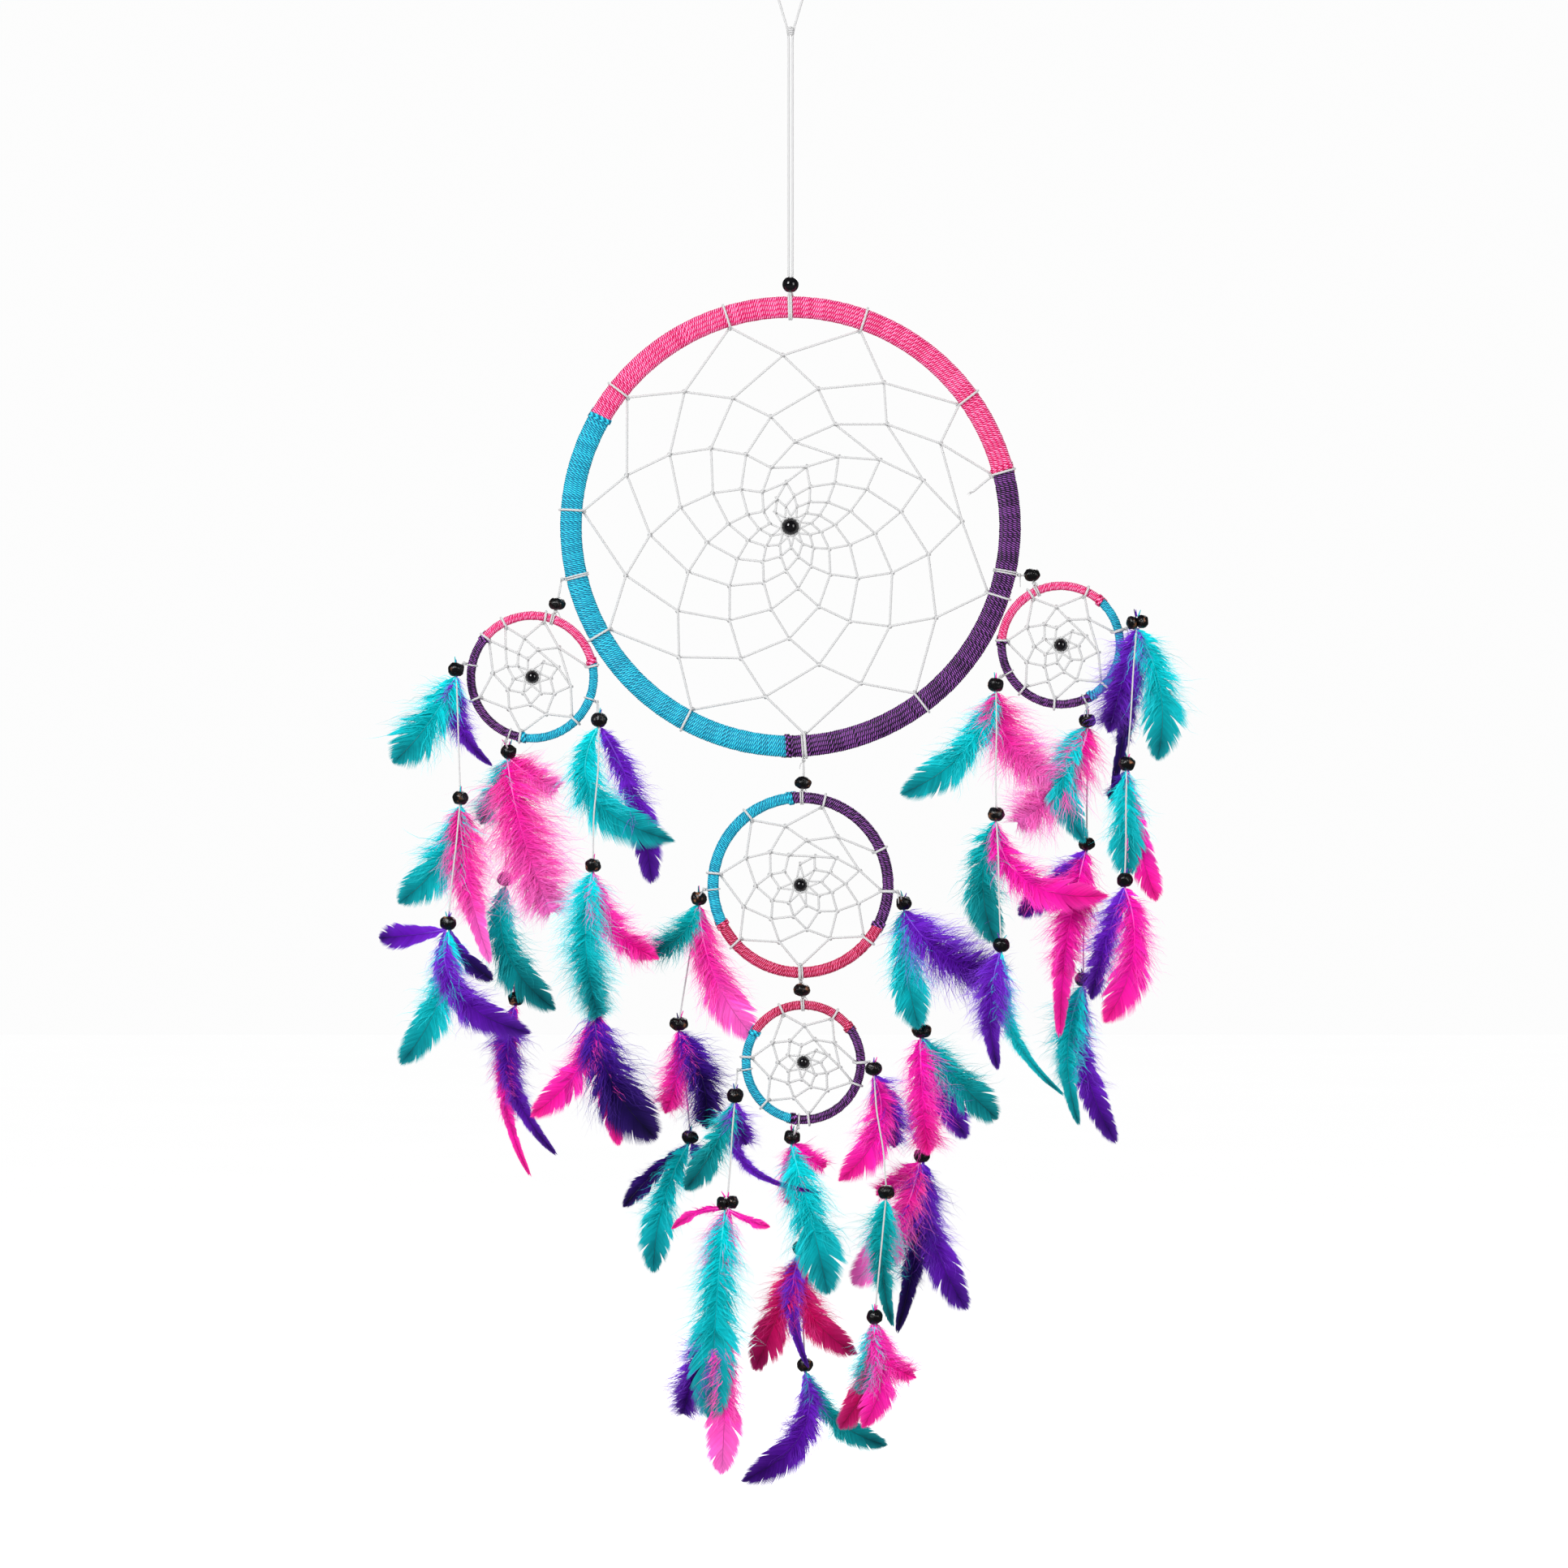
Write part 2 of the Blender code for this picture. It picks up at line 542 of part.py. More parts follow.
pivots = {"main": main_pivot}
build_hoop("main", main_pivot)
for hoop_name in LINKS:
    joint = link_pivot(hoop_name)
    pivots[hoop_name] = pivot_empty(hoop_name + "_pivot", world(joint.x, joint.z),
                                    pivots[LINKS[hoop_name].upper])
    build_hoop(hoop_name, pivots[hoop_name])
    build_link(hoop_name, pivots[hoop_name])
for string_name in STRINGS:
    build_string(string_name, pivots[STRINGS[string_name].hoop])
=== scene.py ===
"""Looks of the dream catcher: thread bindings, twisted cords, beads and dyed feathers on the CAD frame.

Lengths are millimetres and angles degrees unless a name says otherwise. Design points are (x, y, z) from the
centre of the main hoop, +X to the right, +Z up, seen from -Y. Angles on a hoop run anticlockwise from +X.
"""

import json
from collections import namedtuple
from math import cos, pi, radians, sin

import bmesh
import bpy
import numpy as np
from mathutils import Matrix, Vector, noise


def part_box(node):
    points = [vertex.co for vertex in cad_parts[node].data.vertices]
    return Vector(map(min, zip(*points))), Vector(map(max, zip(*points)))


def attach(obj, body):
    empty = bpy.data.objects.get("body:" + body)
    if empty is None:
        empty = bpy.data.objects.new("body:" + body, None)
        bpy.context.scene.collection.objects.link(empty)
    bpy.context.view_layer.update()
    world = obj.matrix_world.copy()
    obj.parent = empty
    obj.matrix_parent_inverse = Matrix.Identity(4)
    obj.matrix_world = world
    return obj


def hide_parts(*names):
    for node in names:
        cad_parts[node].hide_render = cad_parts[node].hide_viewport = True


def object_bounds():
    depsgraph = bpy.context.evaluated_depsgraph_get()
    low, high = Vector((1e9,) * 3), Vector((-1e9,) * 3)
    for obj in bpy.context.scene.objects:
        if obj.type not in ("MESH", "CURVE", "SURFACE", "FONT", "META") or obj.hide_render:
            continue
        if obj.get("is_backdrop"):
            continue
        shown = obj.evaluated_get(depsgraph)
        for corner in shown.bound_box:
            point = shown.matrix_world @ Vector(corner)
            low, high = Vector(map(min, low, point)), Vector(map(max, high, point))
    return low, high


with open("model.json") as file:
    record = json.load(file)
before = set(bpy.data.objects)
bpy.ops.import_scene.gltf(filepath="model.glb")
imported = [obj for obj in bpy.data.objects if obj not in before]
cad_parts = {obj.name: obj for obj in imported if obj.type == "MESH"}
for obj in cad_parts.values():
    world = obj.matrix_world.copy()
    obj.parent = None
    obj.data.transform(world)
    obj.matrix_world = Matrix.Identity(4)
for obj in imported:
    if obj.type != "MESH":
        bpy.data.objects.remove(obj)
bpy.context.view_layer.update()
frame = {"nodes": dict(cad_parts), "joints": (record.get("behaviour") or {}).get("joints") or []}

MM = 0.001
SEED = 11                  # goes into every random draw

# ---- sizes and tables

WEB_CORD = 0.6
STRING_CORD = 0.42
HANGER_CORD = 0.6
CORD_PITCH = 3.4           # length of one full turn of a cord's plies
CORD_STEP = 0.7            # spacing of the rings of a cord's mesh
WEB_LAYER = 0.6            # half the y spacing of two web cords that hook each other
WEB_TWIST = 3.8            # degrees that each web row leans on round the hoop
SECTION_POWER = 2.6        # squareness of a bound hoop's section
RIDGE = 0.26               # depth of the grooves between bound threads
END_THREAD = 0.42          # radius of the thread that laps over the end of another colour
END_TURNS = 4              # turns of that thread
END_LEAN = 0.9             # how far those turns slant to either side
STARTS = 2                 # threads laid side by side in one turn of the binding
TURN_ROWS = 4              # rows of points across each thread of the binding
LAP_GAP = 0.3              # from the binding to the web's first knots
CARVED_BEAD = 4.0          # radii of the beads
GLOSS_BEAD = 3.9
LINK_BEAD = (4.2, 3.9, 3.5)
BEAD_SIDES = 40            # of a turned bead
BEAD_FLATS = 34            # knife cuts on a carved bead
HANGER_BORE = 1.65
WEB_BORE = 0.9
EYE_RADIUS = 6.0           # hanging loop
EYE_NECK = 18.0            # from the middle of the loop down to its binding
TAIL_ANGLE = 14.0          # where the main web's cut end hangs out
TAIL_STRANDS = 9
TAIL_SEED = 5
KNOT_OUT = 2.25            # from a binding to the knots outside it, as in the frame's joints
INNER_SIDE = (192.0, 528.0)   # ends of a turn round a band that opens on the hoop's inner side
OUTER_SIDE = (12.0, 348.0)

# Width of a hoop's binding and of its thread, angles of the web's hitches, the web's rows as shares of the
# radius, first and last angle and colour of each part of the binding, and radius of the web bead.
Hoop = namedtuple("Hoop", "band thread anchors rows segments bead")
HOOPS = {
    "main": Hoop(10.5, 1.0, (14.5, 36.0, 70.5, 107.0, 141.7, 175.8, 209.6, 241.7, 274.0, 306.8, 341.6),
                 (1.0, 0.83, 0.68, 0.54, 0.41, 0.30, 0.215, 0.15, 0.10),
                 ((15.0, 150.0, "pink"), (150.0, 269.0, "blue"), (269.0, 375.0, "violet")), GLOSS_BEAD),
    "left": Hoop(4.3, 0.8, (10.5, 78.0, 118.0, 140.0, 201.7, 258.7, 315.0), (1.0, 0.72, 0.50, 0.33),
                 ((13.0, 140.0, "pink"), (140.0, 260.0, "violet"), (260.0, 373.0, "blue")), 3.0),
    "right": Hoop(4.3, 0.8, (14.0, 64.5, 121.0, 176.0, 229.8, 264.0, 317.7), (1.0, 0.72, 0.50, 0.33),
                  ((47.7, 175.7, "pink"), (175.7, 300.0, "violet"), (300.0, 407.7, "blue")), 3.0),
    "middle": Hoop(5.5, 0.85, (24.0, 74.5, 127.0, 172.5, 222.0, 269.5, 321.0, 356.0),
                   (1.0, 0.76, 0.56, 0.40, 0.26),
                   ((96.0, 206.0, "blue"), (206.0, 332.0, "crimson"), (332.0, 456.0, "violet")), 3.0),
    "bottom": Hoop(4.5, 0.8, (0.0, 57.0, 113.0, 175.0, 227.0, 275.5, 338.0), (1.0, 0.72, 0.50, 0.33),
                   ((36.7, 147.5, "crimson"), (147.5, 258.6, "blue"), (258.6, 396.7, "violet")), 2.8),
}

Link = namedtuple("Link", "upper upper_angle lower_angle bead")
LINKS = {
    "left": Link("main", 193.0, 70.5, (-111.4, 0.0, -36.8)),
    "right": Link("main", -12.0, 113.5, (115.2, 0.0, -23.0)),
    "middle": Link("main", 273.2, 89.0, (6.0, 0.0, -122.2)),
    "bottom": Link("middle", 270.2, 90.5, (5.4, 0.0, -221.0)),
}


def tufts(text):
    """The feathers of each bead of a string, beads parted by semicolons and feathers by commas.

    A feather has a colour, a style, the lean of its middle and of its tip, a length and a width. Leans are
    from straight down, positive to +X.
    """
    beads = [[feather.split() for feather in bead.split(",")] for bead in text.split(";")]
    return [[(colour, style, *map(float, numbers)) for colour, style, *numbers in bead] for bead in beads]


# The hoop and angle that a string hangs from, x and z of its lowest bead (the upper two are joints of the
# frame), and the feathers tucked into its three beads, front ones first.
String = namedtuple("String", "hoop angle lowest tufts")
STRINGS = {
    "left_outer": String("left", 168.7, (-163.1, -189.0), tufts("""
        turquoise hackle -30 -36 52 23, violet streamer 2 22 47 6.5;
        pale_pink streamer 6 11 78 10, turquoise hackle -20 -33 57 20;
        violet hackle 13 41 66 16, violet paddle -81 -83 33 11, turquoise hackle -8 -20 69 16,
        night paddle 30 41 32 8""")),
    "left_centre": String("left", 247.6, (-131.3, -225.4), tufts("""
        pale_pink plume 12 16 78 27, pale_pink plume 52 58 28 13, turquoise fluff -23 -23 35 12;
        teal hackle 2 23 66 17;
        violet streamer -2 16 76 7, pink streamer -8 5 84 5""")),
    "left_inner": String("left", 338.7, (-92.6, -226.6), tufts("""
        turquoise hackle -3 36 69 20, violet hackle 25 18 80 14;
        turquoise plume -5 3 70 18, pink fluff 17 38 53 14;
        night hackle 13 26 70 26, pink hackle -17 -32 61 14, pink hackle 7 9 67 10""")),
    "right_inner": String("right", 207.7, (100.3, -199.5), tufts("""
        turquoise hackle -28 -43 68 17, pale_pink plume 14 32 50 21;
        pink hackle 28 58 67 17, teal hackle -13 0 60 18;
        violet streamer -10 -1 57 9, turquoise streamer 7 24 76 4.5""")),
    "right_centre": String("right", 293.0, (140.0, -216.1), tufts("""
        turquoise hackle -24 0 57 15, pale_pink plume -24 -37 58 22;
        pink streamer -12 -8 91 10, violet hackle -44 -47 46 13;
        turquoise streamer -12 -1 68 8, violet hackle 1 12 78 12""")),
    "right_outer": String("right", 14.0, (159.2, -168.5), tufts("""
        turquoise hackle 22 9 65 20, violet fluff -15 -15 52 17, night streamer -7 -9 80 6;
        turquoise hackle 1 1 51 18, pink vane 9 13 65 12, night fluff -34 -34 17 6;
        pink hackle 7 -9 67 19, violet fluff -20 -17 57 12""")),
    "middle_left": String("middle", 182.6, (-48.0, -291.6), tufts("""
        teal fluff -30 -46 34 13, pale_pink hackle 12 23 71 19;
        night fluff 27 16 50 18, pink fluff -2 -10 41 14;
        turquoise hackle -23 -15 65 15, night wisp -50 -46 45 11, night fluff 24 16 15 7""")),
    "middle_right": String("middle", 356.0, (62.7, -300.5), tufts("""
        violet plume 42 56 58 22, turquoise hackle 2 7 58 18;
        pink fluff 2 4 57 17, teal hackle 40 43 54 17, violet hackle 20 23 53 13;
        pale_pink hackle -19 -29 68 18, pink fluff -50 -53 27 10, violet hackle 8 17 75 16,
        night streamer -5 -9 84 9""")),
    "bottom_left": String("bottom", 186.7, (-32.5, -376.1), tufts("""
        teal hackle -23 -29 49 14, violet fluff 10 14 22 11, violet streamer 9 45 62 3;
        turquoise hackle -5 -4 101 22, pink wisp -84 -70 28 6, pink wisp 62 68 22 6,
        pink fluff -14 -10 36 14;
        pale_pink hackle 2 0 73 16, violet plume -30 -23 48 16""")),
    "bottom_centre": String("bottom", 265.0, (7.0, -400.5), tufts("""
        turquoise hackle 15 14 75 22, pink fluff 52 56 20 9, pink fluff -6 -2 30 10;
        violet streamer -7 5 55 5, magenta hackle -21 -22 60 17, magenta hackle 8 30 56 15;
        violet hackle -4 -31 63 16, teal hackle 31 48 54 12""")),
    "bottom_right": String("bottom", 0.0, (40.1, -376.5), tufts("""
        pink hackle 5 -19 55 17, violet fluff 24 15 37 14;
        teal streamer -4 3 62 8;
        pink fluff 20 40 34 12, pink hackle 9 -7 51 15, turquoise fluff -9 -13 35 12,
        magenta hackle -9 -20 54 13""")),
}
FRONT_TUFTS = ("bottom_left_2", "middle_right_2", "left_inner_2")   # these hide the bead below them
TWIN_BEADS = ("bottom_left_2", "right_outer_1")
HEART_BEADS = ("middle_left_2", "middle_right_2")

# Where the down gives way to the vane as a share of the length, loose hairs per mm, the spread of their
# lengths, their spread out of the feather's plane (degrees), their angles at the quill and at their ends, the
# width near the root as a share of the full width, and how blunt the tip is.
Style = namedtuple("Style", "down hairs spread depth first last waist blunt")
STYLES = {
    "hackle": Style(0.54, 20.0, 0.42, 20, 58, 26, 0.84, 7),
    "vane": Style(0.30, 13.0, 0.35, 16, 50, 22, 0.66, 8),
    "paddle": Style(0.16, 8.0, 0.30, 14, 45, 18, 0.40, 11),
    "wisp": Style(0.60, 9.0, 0.45, 16, 40, 18, 0.60, 3),
    "streamer": Style(0.60, 24.0, 0.45, 24, 62, 28, 2.1, 3),
    "fluff": Style(0.82, 26.0, 0.50, 26, 62, 30, 0.92, 4),
    "plume": Style(0.92, 32.0, 0.52, 28, 68, 34, 0.95, 4),
}


def srgb(red, green, blue):
    """Colour as a designer names it, 0 to 255, to linear values."""
    return tuple(((c / 255 + 0.055) / 1.055) ** 2.4 if c > 10 else c / 255 / 12.92
                 for c in (red, green, blue))


def linear(table):
    return {key: [srgb(*colour) for colour in colours] for key, colours in table.items()}


# Down at the root, middle and vane tip of each dyed feather, and the pale colour painted on its loose hair
# ends as a highlight.
FEATHER_COLOURS = linear({
    "turquoise": ((0, 232, 240), (0, 188, 198), (0, 92, 104), (70, 242, 250)),
    "teal": ((0, 204, 210), (0, 140, 147), (0, 70, 80), (66, 224, 230)),
    "pink": ((255, 20, 186), (255, 24, 184), (226, 12, 128), (255, 120, 220)),
    "pale_pink": ((255, 14, 168), (255, 52, 186), (246, 110, 202), (255, 160, 226)),
    "magenta": ((238, 8, 118), (205, 8, 96), (136, 4, 70), (250, 90, 180)),
    "violet": ((128, 42, 220), (98, 18, 180), (34, 4, 84), (150, 88, 240)),
    "night": ((92, 26, 190), (32, 6, 88), (8, 5, 32), (104, 66, 190)),
})
DOWN_DEPTH = 6.0           # how far down stands out in front of or behind its quill
FULLNESS = 1.18            # loose down makes a feather look wider than its barbs
QUILL_SHARE = 0.94         # of the feather's length
VANE_SPACING, DOWN_SPACING = 0.5, 0.42   # of the barbs along the quill
# Shadowed, middle and lit colour of each binding thread.
THREAD_COLOURS = linear({
    "pink": ((172, 0, 66), (246, 20, 118), (255, 176, 222)),
    "crimson": ((112, 0, 34), (208, 8, 78), (255, 130, 176)),
    "blue": ((0, 84, 112), (0, 158, 198), (60, 232, 255)),
    "violet": ((3, 0, 6), (34, 4, 50), (168, 88, 194)),
})
WHITE = (1.0, 1.0, 1.0, 1.0)


# ---- places taken from the frame

def box_mm(node):
    """Low and high corner of a CAD piece in the frame's axes."""
    return [np.array(corner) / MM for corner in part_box(node)]


ORIGIN = sum(box_mm("main_wrap")) / 2
JOINTS = {joint["name"]: np.array(joint["pos_m"]) / MM - ORIGIN for joint in frame["joints"]}
HOOK_HEIGHT = -ORIGIN[2]


def hoop_place(name):
    """Centre, outer radius and depth of a hoop's binding, from its CAD box."""
    low, high = box_mm(name + "_wrap")
    return (low + high) / 2 - ORIGIN, (high[2] - low[2]) / 2, high[1] - low[1]


PLACES = {name: hoop_place(name) for name in HOOPS}


def polar(name, radius, angle, y=0.0):
    """Points at a radius and angle on a hoop."""
    a = np.radians(angle)
    return PLACES[name][0] + np.stack([radius * np.cos(a), y + 0 * a, radius * np.sin(a)], -1)


def radial(name, angle):
    """Direction from a hoop's centre at an angle."""
    return polar(name, 1.0, angle) - PLACES[name][0]


def unit(v):
    return v / np.maximum(np.linalg.norm(v, axis=-1, keepdims=True), 1e-9)


def knot_point(name, angle):
    """Where a string or link leaves the outside of a hoop."""
    return polar(name, PLACES[name][1] + KNOT_OUT, angle)


def bead_centres(string):
    """The three beads of a string: two joints of the frame, and the lowest one from the table."""
    first, second = JOINTS[string + "_bend_2"], JOINTS[string + "_bend_3"]
    x, z = STRINGS[string].lowest
    return first, second, np.array((x, second[1], z))


def name_seed(text):
    """A whole number for a name that is the same on every run."""
    return sum((index + 1) * ord(letter) for index, letter in enumerate(text)) + SEED


def draws(*seeds):
    """A random generator of its own for each piece."""
    return np.random.default_rng((SEED, *seeds))


def rise(t, start, span):
    """0 up to start, then evenly up to 1 over span."""
    return np.clip((t - start) / span, 0, 1)


# ---- mesh building

def placed(obj):
    bpy.context.scene.collection.objects.link(obj)
    return obj


class Shape:
    """Points (mm), faces and per-point values gathered for one piece."""

    def __init__(self):
        self.points, self.faces, self.slots, self.values, self.count = [], [], [], {}, 0

    def add(self, points, faces, slot=0, **values):
        points = np.asarray(points, float).reshape(-1, 3)
        for block in faces:
            self.faces.append(np.asarray(block, np.int64) + self.count)
            self.slots.append(np.full(len(block), slot, np.int32))
        for key, value in values.items():
            where = slice(self.count, self.count + len(points))
            self.values.setdefault(key, []).append((where, np.ravel(value)))
        self.points.append(points)
        self.count += len(points)

    def build(self, name, body, materials, replaces=()):
        """The piece as a Blender object that rides a body."""
        mesh = bpy.data.meshes.new(name)
        points = (np.vstack(self.points) + ORIGIN) * MM
        corners = np.concatenate([block.ravel() for block in self.faces]).astype(np.int32)
        sizes = np.concatenate([np.full(len(block), block.shape[1]) for block in self.faces])
        mesh.vertices.add(len(points))
        mesh.vertices.foreach_set("co", points.astype(np.float32).ravel())
        mesh.loops.add(len(corners))
        mesh.loops.foreach_set("vertex_index", corners)
        mesh.polygons.add(len(sizes))
        mesh.polygons.foreach_set("loop_start", (np.cumsum(sizes) - sizes).astype(np.int32))
        for material in materials:
            mesh.materials.append(material)
        mesh.polygons.foreach_set("material_index", np.concatenate(self.slots))
        mesh.update(calc_edges=True)
        for key, blocks in self.values.items():
            layer = mesh.attributes.new(key, "FLOAT", "POINT")
            filled = np.zeros(len(points), np.float32)
            for where, value in blocks:
                filled[where] = value
            layer.data.foreach_set("value", filled)
        mesh.shade_smooth()
        obj = placed(bpy.data.objects.new(name, mesh))
        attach(obj, body)
        if replaces:
            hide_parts(*replaces)


def grid(rows, columns, wrap_columns=False, wrap_rows=False):
    """Quads between neighbouring rows of points."""
    r, c = np.meshgrid(np.arange(rows if wrap_rows else rows - 1),
                       np.arange(columns if wrap_columns else columns - 1), indexing="ij")
    r2, c2 = (r + 1) % rows, (c + 1) % columns
    quads = [r * columns + c, r * columns + c2, r2 * columns + c2, r2 * columns + c]
    return np.stack(quads, -1).reshape(-1, 4)


def tube_faces(rows, sides):
    """The sides of a tube and its two end caps."""
    last = (rows - 1) * sides
    return [grid(rows, sides, True), [list(range(sides))[::-1]], [list(range(last, last + sides))]]


def rounded(points, reach):
    """A path with each corner eased over a fixed reach either side of it."""
    points = np.asarray(points, float)
    if not reach:
        return points
    corner = points[1:-1]

    def toward(others):
        aside = others - corner
        share = np.minimum(reach / np.maximum(np.linalg.norm(aside, axis=1), 1e-6), 0.45)
        return corner + aside * share[:, None]

    start, end = toward(points[:-2]), toward(points[2:])
    eased = np.stack([start, corner * 0.5 + start * 0.25 + end * 0.25, end], 1).reshape(-1, 3)
    return np.vstack([points[:1], eased, points[-1:]])


def resampled(points, step):
    """A path with evenly spaced points, and how far along it each of them is."""
    lengths = np.linalg.norm(np.diff(points, axis=0), axis=1)
    points = points[np.concatenate([[True], lengths > 1e-6])]
    along = np.concatenate([[0.0], np.cumsum(lengths[lengths > 1e-6])])
    at = np.linspace(0.0, along[-1], max(3, int(along[-1] / step) + 1))
    return np.stack([np.interp(at, along, points[:, i]) for i in range(3)], 1), at


def side_vectors(points):
    """Two side directions that turn as little as possible along a path."""
    tangents = unit(np.gradient(points, axis=0))
    side = np.array((0.31, 0.9, 0.17))
    firsts = np.zeros_like(points)
    for index, tangent in enumerate(tangents):
        side = side - tangent * (side @ tangent)
        side = side / max(np.linalg.norm(side), 1e-9)
        firsts[index] = side
    return firsts, np.cross(tangents, firsts)


def add_cord(shape, points, radius, reach=3.0, plies=3, taper=1.0, **values):
    """A twisted cord: a lobed section that turns as it runs along the path."""
    path, along = resampled(rounded(points, reach), CORD_STEP)
    first, second = side_vectors(path)
    sides = plies * 2
    ridge = np.arange(sides) % 2 == 0
    angle = np.arange(sides) * 2 * pi / sides + (along / CORD_PITCH)[:, None] * 2 * pi
    out = np.where(ridge, 1.06, 0.82) * radius * np.linspace(1.0, taper, len(path))[:, None]
    out[[0, -1]] *= 0.6
    ring = first[:, None] * np.cos(angle)[..., None] + second[:, None] * np.sin(angle)[..., None]
    # The points between the plies are marked so that the cord material paints shade on them.
    groove = np.tile(np.where(ridge, 0.0, 1.0), len(path))
    shape.add(path[:, None] + ring * out[..., None], tube_faces(len(path), sides), groove=groove,
              around=np.repeat(along * 0.8, sides), **values)


def add_tube(shape, path, thick, sides, **values):
    """A plain round tube with a radius for each point of its path."""
    first, second = side_vectors(path)
    turn = (np.arange(sides) * 2 * pi / sides)[:, None]
    ring = first[:, None] * np.cos(turn) + second[:, None] * np.sin(turn)
    shape.add(path[:, None] + ring * thick[:, None, None], tube_faces(len(path), sides), **values)


def add_coil(shape, centre, axis, radius, turns, height, cord_radius):
    """A few tight turns of cord round an axis, such as a knot."""
    axis = unit(np.asarray(axis, float))
    first = unit(np.cross(axis, (0.2, 1.0, 0.1)))
    second = np.cross(axis, first)
    t = np.linspace(0.0, 1.0, int(turns * 12) + 1)[:, None]
    bulge = radius * (0.8 + 0.2 * np.sin(pi * t))
    add_cord(shape, centre + (t - 0.5) * height * axis
             + bulge * (first * np.cos(2 * pi * turns * t) + second * np.sin(2 * pi * turns * t)),
             cord_radius, reach=0.0)


# ---- materials

def feed(tree, node, inputs):
    """Set a node's inputs to values, or link them to the outputs of other nodes."""
    for key, value in inputs.items():
        if isinstance(value, bpy.types.NodeSocket):
            tree.links.new(value, node.inputs[key])
        else:
            node.inputs[key].default_value = value


def put(tree, kind, inputs=None, **settings):
    """A new node with its settings and inputs."""
    node = tree.nodes.new("ShaderNode" + kind)
    for key, value in settings.items():
        setattr(node, key, value)
    feed(tree, node, inputs or {})
    return node


class Material:
    """A Principled material, with short names for the nodes that drive it."""

    def __init__(self, name, roughness, sheen=0.0, coat=0.0, specular=0.5):
        self.made = bpy.data.materials.new(name)
        self.made.use_nodes = True
        self.tree = self.made.node_tree
        self.set({"Roughness": roughness, "Sheen Weight": sheen, "Sheen Roughness": 0.5, "Coat Weight": coat,
                  "Coat Roughness": 0.06, "Specular IOR Level": specular})

    def set(self, inputs):
        feed(self.tree, self.tree.nodes["Principled BSDF"], inputs)

    def output(self, name, kind, inputs=None, **settings):
        return put(self.tree, kind, inputs, **settings).outputs[name]

    def value(self, name):
        """A value stored on the mesh's points."""
        return self.output("Fac", "Attribute", attribute_name=name)

    def calc(self, operation, *values):
        return self.output(0, "Math", dict(enumerate(values)), operation=operation)

    def ramp(self, factor, *stops):
        """A colour ramp through (position, colour) stops."""
        node = put(self.tree, "ValToRGB", {"Fac": factor})
        elements = node.color_ramp.elements
        while len(elements) < len(stops):
            elements.new(0.5)
        for element, (position, colour) in zip(elements, stops):
            element.position = position
            element.color = (*colour, 1.0)
        return node.outputs["Color"]

    def noise(self, scale, detail=3.0):
        return self.output("Fac", "TexNoise", {"Vector": self.output("Object", "TexCoord"), "Scale": scale,
                                               "Detail": detail})

    def scaled(self, colour, factor):
        """A colour times a value."""
        return self.output("Color", "MixRGB", {"Fac": 1.0, "Color1": colour, "Color2": factor},
                           blend_type="MULTIPLY")

    def bump(self, height, strength, distance_mm):
        self.set({"Normal": self.output("Normal", "Bump", {"Height": height, "Strength": strength,
                                                           "Distance": distance_mm * MM})})


def cord_material():
    """White cotton: bright plies, a little fibre noise, and painted shade that greys the grooves between the
    plies.
    """
    cord = Material("white_cotton_cord", 0.85, sheen=0.15, specular=0.2)
    fibre = cord.noise(2600.0)
    # Painted shade greys the grooves between the plies; the fibre noise is laid over it.
    shade = cord.calc("MULTIPLY_ADD", cord.value("groove"), 0.62, cord.calc("MULTIPLY", fibre, 0.3))
    cord.set({"Base Color": cord.ramp(shade, (0.08, srgb(222, 222, 221)), (0.42, srgb(212, 212, 212)),
                                      (0.88, srgb(184, 184, 188)))})
    cord.bump(fibre, 0.4, 0.08)
    return cord.made


def thread_material(key):
    """Satin thread: a tone for each turn, light and dark diagonal strokes along its twist painted as
    highlights and shade, and painted shade in the grooves between turns.
    """
    dark, middle, lit = THREAD_COLOURS[key]
    satin = Material("binding_" + key, 0.45, sheen=0.04, specular=0.3)
    calc, thread = satin.calc, satin.value("thread")
    turn = calc("FLOOR", thread)
    tone = satin.output("Value", "TexWhiteNoise", {"W": turn}, noise_dimensions="1D")
    slant = calc("MULTIPLY_ADD", satin.value("around"), 0.44, calc("MULTIPLY", tone, 0.4))
    phase = calc("ADD", calc("MULTIPLY", calc("SUBTRACT", thread, turn), 0.9), slant)
    stroke = calc("SINE", calc("MULTIPLY", phase, 2 * pi))
    # Painted highlights and shade: light and dark strokes along the twist, and each turn lit on its ridge and
    # shaded in the grooves between turns.
    light = calc("MULTIPLY", stroke, 0.34)
    for value, share in ((tone, 0.16), (satin.value("ridge"), 0.34), (satin.noise(190.0), 0.18)):
        light = calc("ADD", light, calc("MULTIPLY", value, share))
    satin.set({"Base Color": satin.ramp(light, (0.10, dark), (0.36, middle), (0.52, middle), (0.80, lit))})
    satin.bump(stroke, 0.5, 0.12)
    return satin.made


def gloss_material():
    """Black glass bead with faint smears."""
    glass = Material("polished_black_bead", 0.07, coat=0.5, specular=0.3)
    black = glass.ramp(glass.noise(500.0), (0.3, (0.002, 0.002, 0.003)), (0.8, (0.006, 0.005, 0.007)))
    glass.set({"Base Color": black, "Roughness": glass.calc("MULTIPLY_ADD", glass.noise(900.0), 0.1, 0.02)})
    return glass.made


